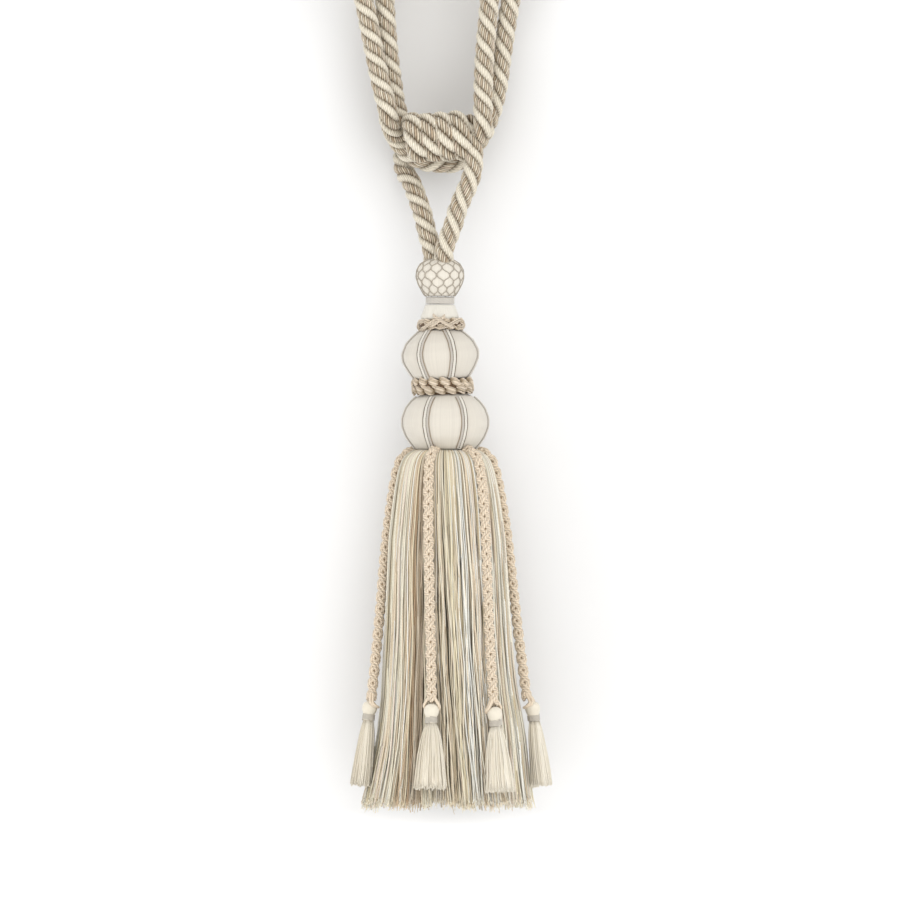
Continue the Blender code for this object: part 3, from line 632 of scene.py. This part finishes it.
def build_turned(name, profile, sides, material, tint, slot, location, lean=0.0):
    """A turned body wound with thread, made as one tube down its profile."""
    outline = smooth_profile(profile, 0.7)
    rings = ring_points(outline[:, :1], -2 * pi * np.arange(sides) / sides, outline[:, 1:])
    bundle = Bundle()
    bundle.add_grid(placed(rings, location, lean)[None], arc_lengths(outline)[None], tint, seed=0.5, contrast=0.06)
    bundle.build(f"{name}_body", material, slot, name)


def profile_line(profile, low, high, count):
    """Radius and height at even steps between two heights on the outer side of a profile."""
    outline = smooth_profile(profile, 0.4)
    outer = outline[(outline[:, 1] <= high) & (outline[:, 1] >= low) & (outline[:, 0] > 1.0)]
    return even_points(outer, count), arc_lengths(outer)[-1]


def build_ball(thread, net):
    build_turned("ball", BALL_PROFILE, 96, thread, BULB_IVORY * 1.13, "netted_thread", NECK_PLACE)
    stations, _ = profile_line(BALL_PROFILE, 84.6, 105.0, 72)
    share = np.linspace(0.0, 1.0, len(stations))
    threads = 2 * NET_CELLS
    bundle = Bundle()
    for number in range(threads):
        wave = np.sin(1.25 * np.cos(pi * NET_ROWS * share)) / sin(1.25)  # rounder than diamonds
        sway = (-1) ** number * (pi / threads) * 0.97 * wave + 0.04 * np.sin(9 * share + 0.8 * number)
        angle = 2 * pi * number / threads + sway
        lift = 0.2 + 0.1 * (-1) ** number
        points = ring_points(stations[:, 0] + lift, angle, stations[:, 1])
        bundle.add(points + NECK_PLACE, 0.31, 6, NET_GREY, seed=number * 0.13)
    bundle.build("ball_net", net, "netted_thread")


def build_ball_binding(thread):
    """The band under the ball: close turns of thread over a plain core."""
    low, high, radius, thick, turns = 80.3, 84.3, 7.55, 0.46, 5
    at = np.linspace(0.0, 1.0, turns * 28 + 1)
    coil = ring_points(radius, 2 * pi * turns * at, high - thick + (low - high + 2 * thick) * at)
    core = ((0.0, 0.0, high - 0.1), (0.0, 0.0, low + 0.1))
    bundle = Bundle()
    bundle.add(placed(coil, NECK_PLACE), thick, 6, BAND_GREY, seed=radius)
    bundle.add(placed(core, NECK_PLACE), radius, 28, BAND_GREY * 0.7)
    bundle.build("ball_binding", thread, "grey_binding", "ball_band")


def ring_sag(angle, saddle, tilt):
    """A ring that droops at its sides by the saddle, and stands higher on its right by the tilt."""
    return tilt * np.cos(angle) - saddle * np.cos(2 * angle)


def pillow_ring(bundle, radius, height, pillows, strands, bulge, spread, yarn, tilt, shift, sag, place, tint, seed):
    """A ring of yarns that puff out together and are drawn in between, like a row of plump knots."""
    draw = np.random.default_rng(seed)
    sizes = draw.uniform(0.84, 1.14, pillows)
    lifts = draw.normal(0.0, 0.22, pillows)
    angle = np.linspace(0.0, 2 * pi, pillows * 14 + 1)
    phase = pillows * angle / (2 * pi) + shift + 1e-9
    number = np.floor(phase).astype(int) % pillows
    within = phase - np.floor(phase) - 0.5
    swell = np.abs(np.sin(pi * phase)) ** 0.6
    size = 1 + (sizes[number] - 1) * swell
    for strand in range(strands):
        level = strand - (strands - 1) / 2
        edge = (2 * level / strands) ** 2
        z = (height + ring_sag(angle, *sag) + level * spread * (0.6 + 0.4 * swell) * size
             + lifts[number] * swell - tilt * within * swell)
        reach = radius + bulge * (0.3 + 0.7 * swell) * size * (1 - 0.3 * edge) - 0.35 * edge
        swollen = (yarn * (0.7 + 0.3 * swell))[None]
        # painted shade: darker where the pillows are drawn in, on every other strand and towards the edges
        drawn_in_shade = np.clip(0.28 + 0.9 * swell ** 1.5, 0, 1) * (1.05 - 0.24 * (strand % 2)) * (1 - 0.15 * edge)
        tints = tint * drawn_in_shade[:, None] ** WARM_SHADE
        bundle.add(placed(ring_points(reach, angle, z), *place), swollen, 7,
                   tints[None, :, None], seed=strand + seed)


def crossing_ring(bundle, radius, height, waves, rise, depth, yarn, spread, sag, place, tint):
    """Two pairs of yarn that wind up and down round a ring and cross each other, once at its front."""
    angle = np.linspace(0.0, 2 * pi, 161)
    for hand in (1, -1):
        wave = waves * angle
        for side in (-1, 1):
            z = height + ring_sag(angle, *sag) + hand * rise * np.sin(wave) + side * spread
            reach = radius + hand * depth * np.cos(wave) - 0.15 * side
            bundle.add(placed(ring_points(reach, angle, z), *place), yarn, 7, tint * (1 + 0.05 * side),
                       seed=hand * 3 + side)


def shade_ring(bundle, radius, height, thick, sag, place):
    """A dark ring behind the yarns of a ruff: painted shade that shows between them."""
    angle = np.linspace(0.0, 2 * pi, 61)
    points = ring_points(radius, angle, height + ring_sag(angle, *sag))
    bundle.add(placed(points, *place), thick, 8, RUFF_SHADE)


def build_ruffs(material):
    upper = Bundle()
    place = ((UPPER_PIVOT[0] + 1.3, 0.0, UPPER_PIVOT[2]), UPPER_LEAN)
    sag = (0.4, -0.3)
    shade_ring(upper, 9.9, 34.0, 2.6, sag, place)
    pillow_ring(upper, 10.4, 35.5, 13, 3, 1.9, 1.1, 0.66, 1.7, 0.2, sag, place, RUFF_TAN, 21)
    pillow_ring(upper, 10.5, 32.7, 13, 3, 1.9, 1.1, 0.64, -1.7, 0.7, sag, place, RUFF_TAN * 0.94, 22)
    crossing_ring(upper, 12.1, 34.3, 3, 2.2, 0.7, 0.52, 0.56, sag, place, RUFF_TAN)
    for side in (-0.45, 0.45):  # the tie's own ends, crossed at the front
        for tie in (UPPER_TIE_DOWN, UPPER_TIE_UP):
            upper.add(smooth_route([(x, y, z + side) for x, y, z in tie], 0.6), 0.5, 6, RUFF_TAN * (1 - 0.2 * side))
    upper.build("upper_ruff_yarns", material, "ruff_cord", "upper_ruff")
    lower = Bundle()
    place = (UPPER_PIVOT, UPPER_LEAN)
    shade_ring(lower, 13.3, 0.3, 3.2, (0.0, -0.9), place)
    # painted shadow under the lower ruff, on the top of the lower bulb
    shade_ring(lower, 12.0, -2.4, 2.4, (-0.3, -0.4), place)
    pillow_ring(lower, 13.8, 1.7, 15, 5, 3.0, 1.2, 0.6, 3.4, 0.0, (0.2, -1.0), place, RUFF_TAN * 1.1, 8)
    pillow_ring(lower, 13.9, -1.5, 15, 5, 2.8, 1.1, 0.54, 3.0, 0.5, (-0.3, -0.5), place, RUFF_TAN * 1.04, 9)
    lower.build("lower_ruff_yarns", material, "ruff_cord", "lower_ruff")


def build_ribs(prefix, profile, angles, location, lean, low, high, material):
    """Pairs of twisted cord over a bulb: a light one with thin dark edges of painted shade, a grey one nearer the
    front beside it.
    """
    stations, length = profile_line(profile, low, high, 80)
    slope = unit(np.gradient(stations, axis=0))
    out = np.stack([-slope[:, 1], slope[:, 0]], axis=1)
    along = np.linspace(0.0, length, len(stations))
    # the thin dark cords are painted shade along the edges of the light cord
    cords = (  # place across the rib, half width, tube radius, colour, hand
        (0.62, 0.5, 0.46, RIB_LIGHT, 1), (-1.05, 0.42, 0.42, RIB_GREY, -1), (1.6, 0.08, 0.32, RIB_EDGE_SHADE, 1),
        (-0.24, 0.08, 0.3, RIB_EDGE_SHADE, 1), (-1.86, 0.05, 0.2, RIB_EDGE_SHADE * 2.3, 1),
    )
    for index, degrees in enumerate(angles, start=1):
        away = 1.0 if (degrees % 360) < 180 else -1.0
        edge_on = 60 < degrees % 180 < 120
        bundle = Bundle()
        for place, width, tube, tint, hand in cords[:2] if edge_on else cords:
            for ply in (0.0, pi):
                turn = hand * 2 * pi * along / RIB_LAY + ply
                lift = 0.6 * tube + 0.15 + 0.3 * width * np.cos(turn)
                offset = away * place + width * np.sin(turn)
                reach = stations[:, 0] + out[:, 0] * lift
                angle = radians(degrees) - pi / 2 + offset / np.maximum(reach, 4.0)
                points = ring_points(reach, angle, stations[:, 1] + out[:, 1] * lift)
                bundle.add(placed(points, location, lean), tube, 5, tint, seed=index + ply)
        bundle.build(f"{prefix}_rib_cords_{index}", material, "rib_cord", f"{prefix}_rib_{index}")


# ---- skirt

def skirt_radius(depth):
    return read_rows(SKIRT_ROWS, depth)


FRONT_BUNCHES = {  # angle in degrees, colour of the bunch of yarn there
    -84: "cream", -77: "ivory", -70: "cream", -63: "sand", -57: "ivory", -51: "cream", -45: "stone",
    -40: "sand", -34: "brown", -28: "taupe", -22: "cream", -16: "stone", -10: "ecru", -5: "cream",
    0: "pink", 5: "yellow", 11: "ecru", 17: "ivory", 23: "sand", 29: "grey", 35: "ecru", 41: "cream",
    47: "ivory", 54: "pink", 61: "cream", 68: "ivory", 76: "ivory", 84: "cream",
}
BUNCHES = 56
DEPTH_STATIONS = (0.0, 0.6, 1.8, 3.6, 6.0, 10.0, 15.0, 22.0, 30.0, 40.0, 50.0, 60.0, 70.0, 80.0, 90.0, 100.0,
                  110.0, 120.0, 130.0, 140.0, 150.0, 160.0, 168.0, 176.0, 184.0, 190.0, 196.0)


def bunch_table():
    """Angle and colour name of each bunch: the front ones listed, the rest drawn."""
    draw = np.random.default_rng(5)
    table = []
    for number in range(BUNCHES):
        degrees = 360 * (number + 0.5) / BUNCHES - 180
        nearest = min(FRONT_BUNCHES, key=lambda angle: abs(angle - degrees))
        drawn = COMMON_COLOURS[draw.integers(len(COMMON_COLOURS))]
        table.append((degrees, FRONT_BUNCHES[nearest] if abs(nearest - degrees) < 7 else drawn))
    return table


def build_skirt_layer(name, count, stations, inset, bunching, seed, material):
    """Cut yarns hanging from under the bulb and spreading towards the hem.

    inset is the range of their ranks, 0 at the skirt's face and 1 at its inside; bunching, from 0 to 1, is how
    far they draw together in bunches.
    """
    draw = np.random.default_rng(seed)
    bunches = bunch_table()
    number = np.arange(count) % BUNCHES
    home = np.radians([bunches[i][0] for i in number])[:, None]
    spread = 2 * pi / BUNCHES
    offset = draw.uniform(-0.62, 0.62, (count, 1)) * spread
    hem = SKIRT_HEM + draw.normal(0.0, 1.6, count) + draw.uniform(-1.5, 1.5, BUNCHES)[number]
    depth = np.array(stations) * (hem / stations[-1])[:, None]
    share = depth / SKIRT_HEM
    rank = draw.uniform(*inset, (count, 1))
    gather = bunching * 0.35 * np.sin(pi * np.clip(share * 1.25, 0, 1))
    drift = bunching * draw.normal(0.0, 0.3, BUNCHES)[number] * spread
    sway = draw.normal(0.0, 0.22, count) * spread * np.where(draw.random(count) < 0.07, 5.0, 1.0)
    wave = 0.16 * spread * np.sin(depth / draw.uniform(9, 16, (count, 1)) + draw.uniform(0, 6, (count, 1)))
    turning = radians(SKIRT_TWIST) * np.exp(-((home + 0.1) / 0.65) ** 2)
    angle = (home + offset * (1 - gather) + drift[:, None] * share + sway[:, None] * share ** 2
             + wave * np.minimum(1, share * 3) + turning * (share - 0.15))
    shell = read_rows(((0.0, 2.0), (15.0, 3.5), (60.0, 5.5), (196.0, 9.0)), depth)
    crown = 0.9 * np.cos(offset / spread * pi) * np.minimum(1, share * 6)
    radius = skirt_radius(depth) - 0.5 - rank * shell + crown * (1 - rank)
    flare = draw.normal(0.0, 1.0, (count, 1)) * np.clip((share - 0.85) / 0.15, 0, 1)
    leftward = np.clip(-np.sin(angle), 0, 1) ** 3 * np.clip((share - 0.84) / 0.16, 0, 1)
    rightward = np.clip(np.sin(angle), 0, 1) ** 2 * np.exp(-((share - 0.82) / 0.13) ** 2)
    radius = radius + 0.6 * flare + HEM_FLARE * leftward + RIGHT_SWELL * rightward
    x = radius * np.sin(angle) + SKIRT_LEAN * depth
    y = -radius * np.cos(angle)
    lines = np.stack([x, y, 0.1 - depth - 1.8 * rank], axis=-1)
    names = [bunches[i][1] for i in number]
    stray = draw.random(count) < 0.45
    drawn = draw.integers(len(COMMON_COLOURS), size=count)
    tints = np.array([SKIRT_COLOURS[COMMON_COLOURS[d] if s else n] for n, s, d in zip(names, stray, drawn)])
    light = np.where(draw.random(count) < 0.66, draw.uniform(0.96, 1.12, count), draw.uniform(0.56, 0.9, count))
    # painted light and shade: lighter towards the skirt's right side, darker towards its left
    light = light * (1.03 + 0.07 * np.sin(home[:, 0]))
    # painted shade: yarns that lie deeper inside the skirt are made darker
    shade = np.minimum(1.16, light * (1.08 - 0.55 * rank[:, 0]))[:, None, None]
    # the painted shade and the random darkening ease off towards the hem
    shade = shade + (0.98 - shade) * 0.6 * np.clip((share[..., None] - 0.9) / 0.1, 0, 1)
    tints = tints[:, None] * shade ** WARM_SHADE
    bundle = Bundle()
    bundle.add(lines, draw.uniform(0.34, 0.47, (count, 1)), 3, tints[:, :, None], seed=draw.uniform(0, 50, count))
    bundle.build(name, material, "skirt_yarn", "skirt")
    return lines[:, -2:], tints[:, -1]


def build_skirt_tips(ends, tints, material):
    """The cut yarns' ends, each untwisted into a few finer fibres."""
    draw = np.random.default_rng(77)
    fibres = 3
    last = np.repeat(ends[:, -1], fibres, axis=0)
    along = np.repeat(unit(ends[:, -1] - ends[:, -2]), fibres, axis=0)
    spread = draw.normal(0.0, 0.2, last.shape)
    length = draw.uniform(1.0, 3.2, (len(last), 1))
    lines = np.stack([last - 0.6 * along, last + length * 0.45 * (along + 0.5 * spread),
                      last + length * (along + spread)], axis=1)
    bundle = Bundle()
    bundle.add(lines, 0.17, 3, np.repeat(tints, fibres, axis=0) * 1.2, seed=draw.uniform(0, 50, len(last)))
    bundle.build("skirt_tips", material, "skirt_yarn", "skirt")


# ---- plaits and small tassels

def on_skirt(degrees, radius, depth):
    """A place round the skirt, whose axis leans."""
    x, y = around(degrees, radius)
    return x + SKIRT_LEAN * depth, y, -depth


def hanger_radius(depth, share):
    """Radius of a plait's axis: it rides over the skirt and comes away from it towards its small tassel."""
    return skirt_radius(depth) + PLAIT_OFF_SKIRT + PLAIT_STAND_OUT * share ** 3


def hanger_route(top_angle, low_angle, head_depth):
    plait_end = head_depth - PLAIT_END
    route = [(*around(top_angle, 15.6), -0.6), (*around(top_angle, 19.4), -0.4)]
    for share in (0.018, 0.035, 0.07, 0.15, 0.3, 0.45, 0.6, 0.8, 1.0):
        depth = plait_end * share
        degrees = top_angle + (low_angle - top_angle) * share
        route.append(on_skirt(degrees, hanger_radius(depth, share), depth))
    return route


def add_plait(bundle, centre, low_angle):
    """A round plait of four strands, each of two yarns: two strands wind each way, over and under in turn."""
    line = centre[None]
    # a dark core down the plait's middle: painted shade that shows between the strands
    bundle.add(line[:, :-3], 1.2, 8, PLAIT_CREAM * (0.5, 0.42, 0.32))
    crossings = np.array((*around(90 * round(low_angle / 90), 1.0), 0.3))  # they line up on this side
    _, across, up = facing_frames(line, np.broadcast_to(crossings, line.shape))
    along = arc_lengths(line)
    wind = 2 * pi * along / PLAIT_TURN
    for hand in (1, -1):
        for strand in range(2):
            turn = hand * wind + pi * strand
            outward = toward(turn, across, up)
            reach = 1.78 + hand * 0.46 * np.cos(2 * wind)
            middle = line + reach[..., None] * outward
            tangents = unit(np.gradient(middle, axis=1))
            beside = unit(np.cross(outward, tangents))
            for side in (-1, 1):
                yarn = middle + side * 0.8 * beside - 0.1 * outward
                bundle.add(yarn, 0.86, 7, PLAIT_CREAM * (0.98 + 0.04 * side),
                           seed=strand + hand * 0.2 + side * 0.05)


def build_small_tassel(index, seat, turn, back, yarn, grey):
    """A round head, a bound waist and a cut fringe. The plait that it hangs from ends back from it."""
    draw = np.random.default_rng(300 + index)
    lean = np.array(Matrix.Rotation(turn, 3, "Z") @ Matrix.Rotation(-SMALL_TASSEL_SPLAY, 3, "Y"))

    def at_seat(points):
        return np.asarray(points, float) @ lean.T + seat

    def across(reach, angle, share):
        """Places across the fringe, which opens from round to oval on its way down."""
        spread = read_rows(SMALL_FRINGE_OPENING, share)
        return [reach * (SMALL_FRINGE_ROOT + (half - SMALL_FRINGE_ROOT) * spread) * wave(angle)
                for half, wave in zip(SMALL_FRINGE_HALF, (np.cos, np.sin))]

    bundle = Bundle()
    angles = -2 * pi * np.arange(48) / 48
    head = smooth_profile(SMALL_HEAD_PROFILE, 0.5)
    rings = at_seat(ring_points(head[:, :1], angles, head[:, 1:]))
    bundle.add_grid(rings[None], np.zeros((1, len(head))), FRINGE_CREAM * 0.93, repeats=24)
    count = 190
    angle = draw.uniform(0, 2 * pi, (count, 1))
    rank = np.sqrt(draw.uniform(0.3, 1.0, (count, 1)))
    share = np.linspace(0.0, 1.0, 9)[None]
    x, y = across(rank, angle, share)
    low = SMALL_FRINGE_TOP + (SMALL_FRINGE_LENGTH + draw.normal(0.0, 0.5, (count, 1))) * share
    wander = 0.25 * np.sin(share * draw.uniform(3, 8, (count, 1)) + draw.uniform(0, 6, (count, 1))) * share
    lines = np.stack([x + wander, y + wander, -low], axis=-1)
    tints = FRINGE_CREAM * draw.uniform(0.92, 1.08, (count, 1)) ** WARM_SHADE
    bundle.add(at_seat(lines), 0.4, 3, tints, seed=draw.uniform(0, 50, count))
    share = np.linspace(0.0, 1.0, 12)[:, None]
    low = SMALL_FRINGE_TOP + 0.97 * SMALL_FRINGE_LENGTH * share
    body = np.stack(np.broadcast_arrays(*across(0.86, angles, share), -low), axis=-1)
    bundle.add_grid(at_seat(body)[None], np.zeros((1, 12)), FRINGE_CREAM * 0.95, repeats=30)
    for side in (-1, 1):  # the cord that ties the head to its plait
        for slip in (-0.5, 0.5):
            loop = (
                (slip - back, side * 0.9, 8.6), (slip * 1.3 - 0.7 * back, side * 1.7, 6.8),
                (slip * 1.5 - 0.2 * back, side * 2.8, 4.9), (slip * 1.4, side * 3.9, 3.1),
                (slip - 0.9, side * 4.3, 1.9), (slip * 0.7 - 2.8, side * 3.7, 1.0),
                (slip * 0.4 - 4.2, side * 1.8, 0.6), (-4.6, 0.0, 0.6),
            )
            bundle.add(at_seat(smooth_route(loop, 0.7)), 0.78, 6, PLAIT_CREAM, seed=slip)
    tassel = bundle.build(f"small_fringe_{index}", yarn, "cream_fringe", f"small_tassel_{index}")
    bundle = Bundle()
    at = np.linspace(0.0, 1.0, 97)
    coil = ring_points(3.1, 2 * pi * 4 * at, -4.0 - 3.1 * at)  # four turns
    bundle.add(at_seat(coil), 0.48, 6, BAND_GREY * (0.9, 0.88, 0.84), seed=index)
    return tassel, bundle.build(f"small_binding_{index}", grey, "grey_binding", f"small_band_{index}")


def build_hangers(braid, fringe, grey):
    for index, (top_angle, low_angle, head_depth, stand_out) in enumerate(HANGER_ROWS, start=1):
        centre = smooth_route(hanger_route(top_angle, low_angle, head_depth), 0.9)
        radius = hanger_radius(head_depth, 1.0) + SMALL_TASSEL_STAND_OUT + stand_out
        seat = on_skirt(low_angle, radius, head_depth)
        pieces = build_small_tassel(index, seat, radians(low_angle) - pi / 2, stand_out, fringe, grey)
        bundle = Bundle()
        add_plait(bundle, centre, low_angle)
        obj = bundle.build(f"hanger_plait_{index}", braid, "braid", f"hanger_{index}")


# ---- stage

def stage_material():
    """Matt white with a painted shadow between the ropes and a painted glow low down, whose back isn't seen, so that
    it hides nothing from behind.
    """
    graph = Graph("white_sweep", 0.9, specular=0.0)
    split = graph.node("ShaderNodeSeparateXYZ")
    graph.put(graph.node("ShaderNodeTexCoord").outputs["Object"], split.inputs[0])
    across, height = split.outputs[0], split.outputs[2]
    # painted shadow: darker down the middle between the rope's arms, fading out lower down
    off = graph.math("ABSOLUTE", graph.plus(across, 0.002))
    shade = graph.times(graph.minus(1.0, graph.ramp(off, 0.012, 0.075)), graph.ramp(height, -0.20, -0.10))
    paint = graph.blend("MIX", graph.times(shade, 0.46), STAGE_WHITE, STAGE_SHADE)
    graph.put(paint, graph.shader.inputs["Base Color"])
    graph.shader.inputs["Emission Color"].default_value = (1.0, 1.0, 1.0, 1.0)
    # painted light: the wall glows below the hem, and a little at the lower left, where the tassel's shadow falls
    low = graph.minus(1.0, graph.ramp(height, -0.528, -0.506))
    left = graph.minus(1.0, graph.ramp(across, -0.09, 0.03))
    side = graph.times(left, graph.minus(1.0, graph.ramp(height, -0.36, -0.26)))
    glow = graph.plus(graph.times(side, 0.06), graph.times(low, 0.45))
    graph.put(glow, graph.shader.inputs["Emission Strength"])
    clear = graph.node("ShaderNodeBsdfTransparent")
    mix = graph.node("ShaderNodeMixShader")
    graph.put(graph.node("ShaderNodeNewGeometry").outputs["Backfacing"], mix.inputs[0])
    graph.put(graph.shader.outputs[0], mix.inputs[1])
    graph.put(clear.outputs[0], mix.inputs[2])
    graph.put(mix.outputs[0], graph.tree.nodes["Material Output"].inputs["Surface"])
    return graph.material


def build_stage():
    """A white wall that curves into a floor, in metres. Its upper part leans towards the ropes."""
    wall_y, floor_z, top_z, reach, cove, half_width = 0.069, -0.60, 0.9, 1.6, 0.03, 1.6
    profile = [(0.027, top_z), (0.027, 0.0)]
    for i in range(9):
        turn = pi / 2 * i / 8
        profile.append((wall_y - cove + cove * cos(turn), floor_z + cove - cove * sin(turn)))
    profile.append((-reach, floor_z))
    verts = [(side * half_width, y, z) for y, z in profile for side in (-1, 1)]
    faces = [(2 * i, 2 * i + 2, 2 * i + 3, 2 * i + 1) for i in range(len(profile) - 1)]
    mesh = bpy.data.meshes.new("sweep")
    mesh.from_pydata(verts, [], faces)
    mesh.materials.append(stage_material())
    add_object("sweep", mesh)


def build_light():
    """White surroundings and one broad soft light from above the camera's right."""
    world = bpy.data.worlds.new("studio")
    bpy.context.scene.world = world
    world.use_nodes = True
    background = world.node_tree.nodes["Background"]
    background.inputs["Color"].default_value = (1.0, 1.0, 1.0, 1.0)
    background.inputs["Strength"].default_value = 1.05
    data = bpy.data.lights.new("key", "AREA")
    data.shape = "DISK"
    data.size = 2.6
    data.energy = 26.0
    data.color = (1.0, 0.99, 0.98)
    light = add_object("key", data)
    light.location = (0.5, -2.6, 1.1)
    towards = Vector((0.0, 0.0, -0.28)) - light.location
    light.rotation_euler = towards.to_track_quat("-Z", "Y").to_euler()
    bpy.context.scene.view_settings.view_transform = "Standard"


def build_camera():
    distance, picture_width, sensor = 8.0, 0.495, 36.0  # the picture is that wide where the tassel hangs
    data = bpy.data.cameras.new("camera")
    data.sensor_width = sensor
    data.lens = sensor * distance / picture_width
    data.clip_start, data.clip_end = 0.05, 20.0
    camera = add_object("camera", data)
    camera.location = (0.0022, -distance, -HANG_HEIGHT * MM)
    camera.rotation_euler = (pi / 2, 0.0, 0.0)
    bpy.context.scene.camera = camera


# ---- the scene

build_camera()
rope_yarn = yarn_material("rope_yarn", 1, 0, 0.0, 0.12, fibre=0.34)
satin_thread = yarn_material("satin_thread", 330, 0, 0.06, 0.05, roughness=0.5, fibre=0.06)
ball_thread = yarn_material("ball_thread", 150, 0, 0.08, 0.08, roughness=0.55, fibre=0.08)
net_thread = yarn_material("net_thread", 2, 1.6, 0.25, 0.12)
grey_thread = yarn_material("grey_thread", 3, 2.4, 0.15, 0.1, roughness=0.55)
ruff_yarn = yarn_material("ruff_yarn", 4, 1.7, 0.5, 0.2)
rib_yarn = yarn_material("rib_yarn", 3, 1.0, 0.15, 0.08, roughness=0.6)
skirt_yarn = yarn_material("skirt_yarn", 2, 1.7, 0.12, 0.06, roughness=0.65)
plait_yarn = yarn_material("plait_yarn", 3, 1.8, 0.35, 0.16)
fringe_yarn = yarn_material("fringe_yarn", 2, 1.5, 0.12, 0.08, roughness=0.65)

build_embrace(rope_yarn)
build_suspension(rope_yarn)
build_ball(ball_thread, net_thread)
build_ball_binding(grey_thread)
build_turned("neck", NECK_PROFILE, 96, satin_thread, NECK_IVORY, "ivory_thread", NECK_PLACE)
build_turned("upper_bulb", UPPER_BULB_PROFILE, 128, satin_thread, BULB_IVORY, "ivory_thread", UPPER_PIVOT,
             UPPER_LEAN)
build_turned("lower_bulb", LOWER_BULB_PROFILE, 128, satin_thread, BULB_IVORY, "ivory_thread", LOWER_PLACE)
build_ruffs(ruff_yarn)
build_ribs("upper", UPPER_BULB_PROFILE, UPPER_RIB_ANGLES, UPPER_PIVOT, UPPER_LEAN, 4.5, 31.0, rib_yarn)
build_ribs("lower", LOWER_BULB_PROFILE, LOWER_RIB_ANGLES, LOWER_PLACE, 0.0, 1.0, 29.0, rib_yarn)
outer_ends, outer_tints = build_skirt_layer("skirt_outer", 1180, DEPTH_STATIONS, (0.0, 0.45), 1.0, 11, skirt_yarn)
inner_stations = DEPTH_STATIONS[:-1:3] + DEPTH_STATIONS[-1:]
build_skirt_layer("skirt_inner", 1100, inner_stations, (0.45, 1.0), 0.0, 12, skirt_yarn)
build_skirt_tips(outer_ends, outer_tints, skirt_yarn)
build_hangers(plait_yarn, fringe_yarn, grey_thread)
build_stage()
build_light()
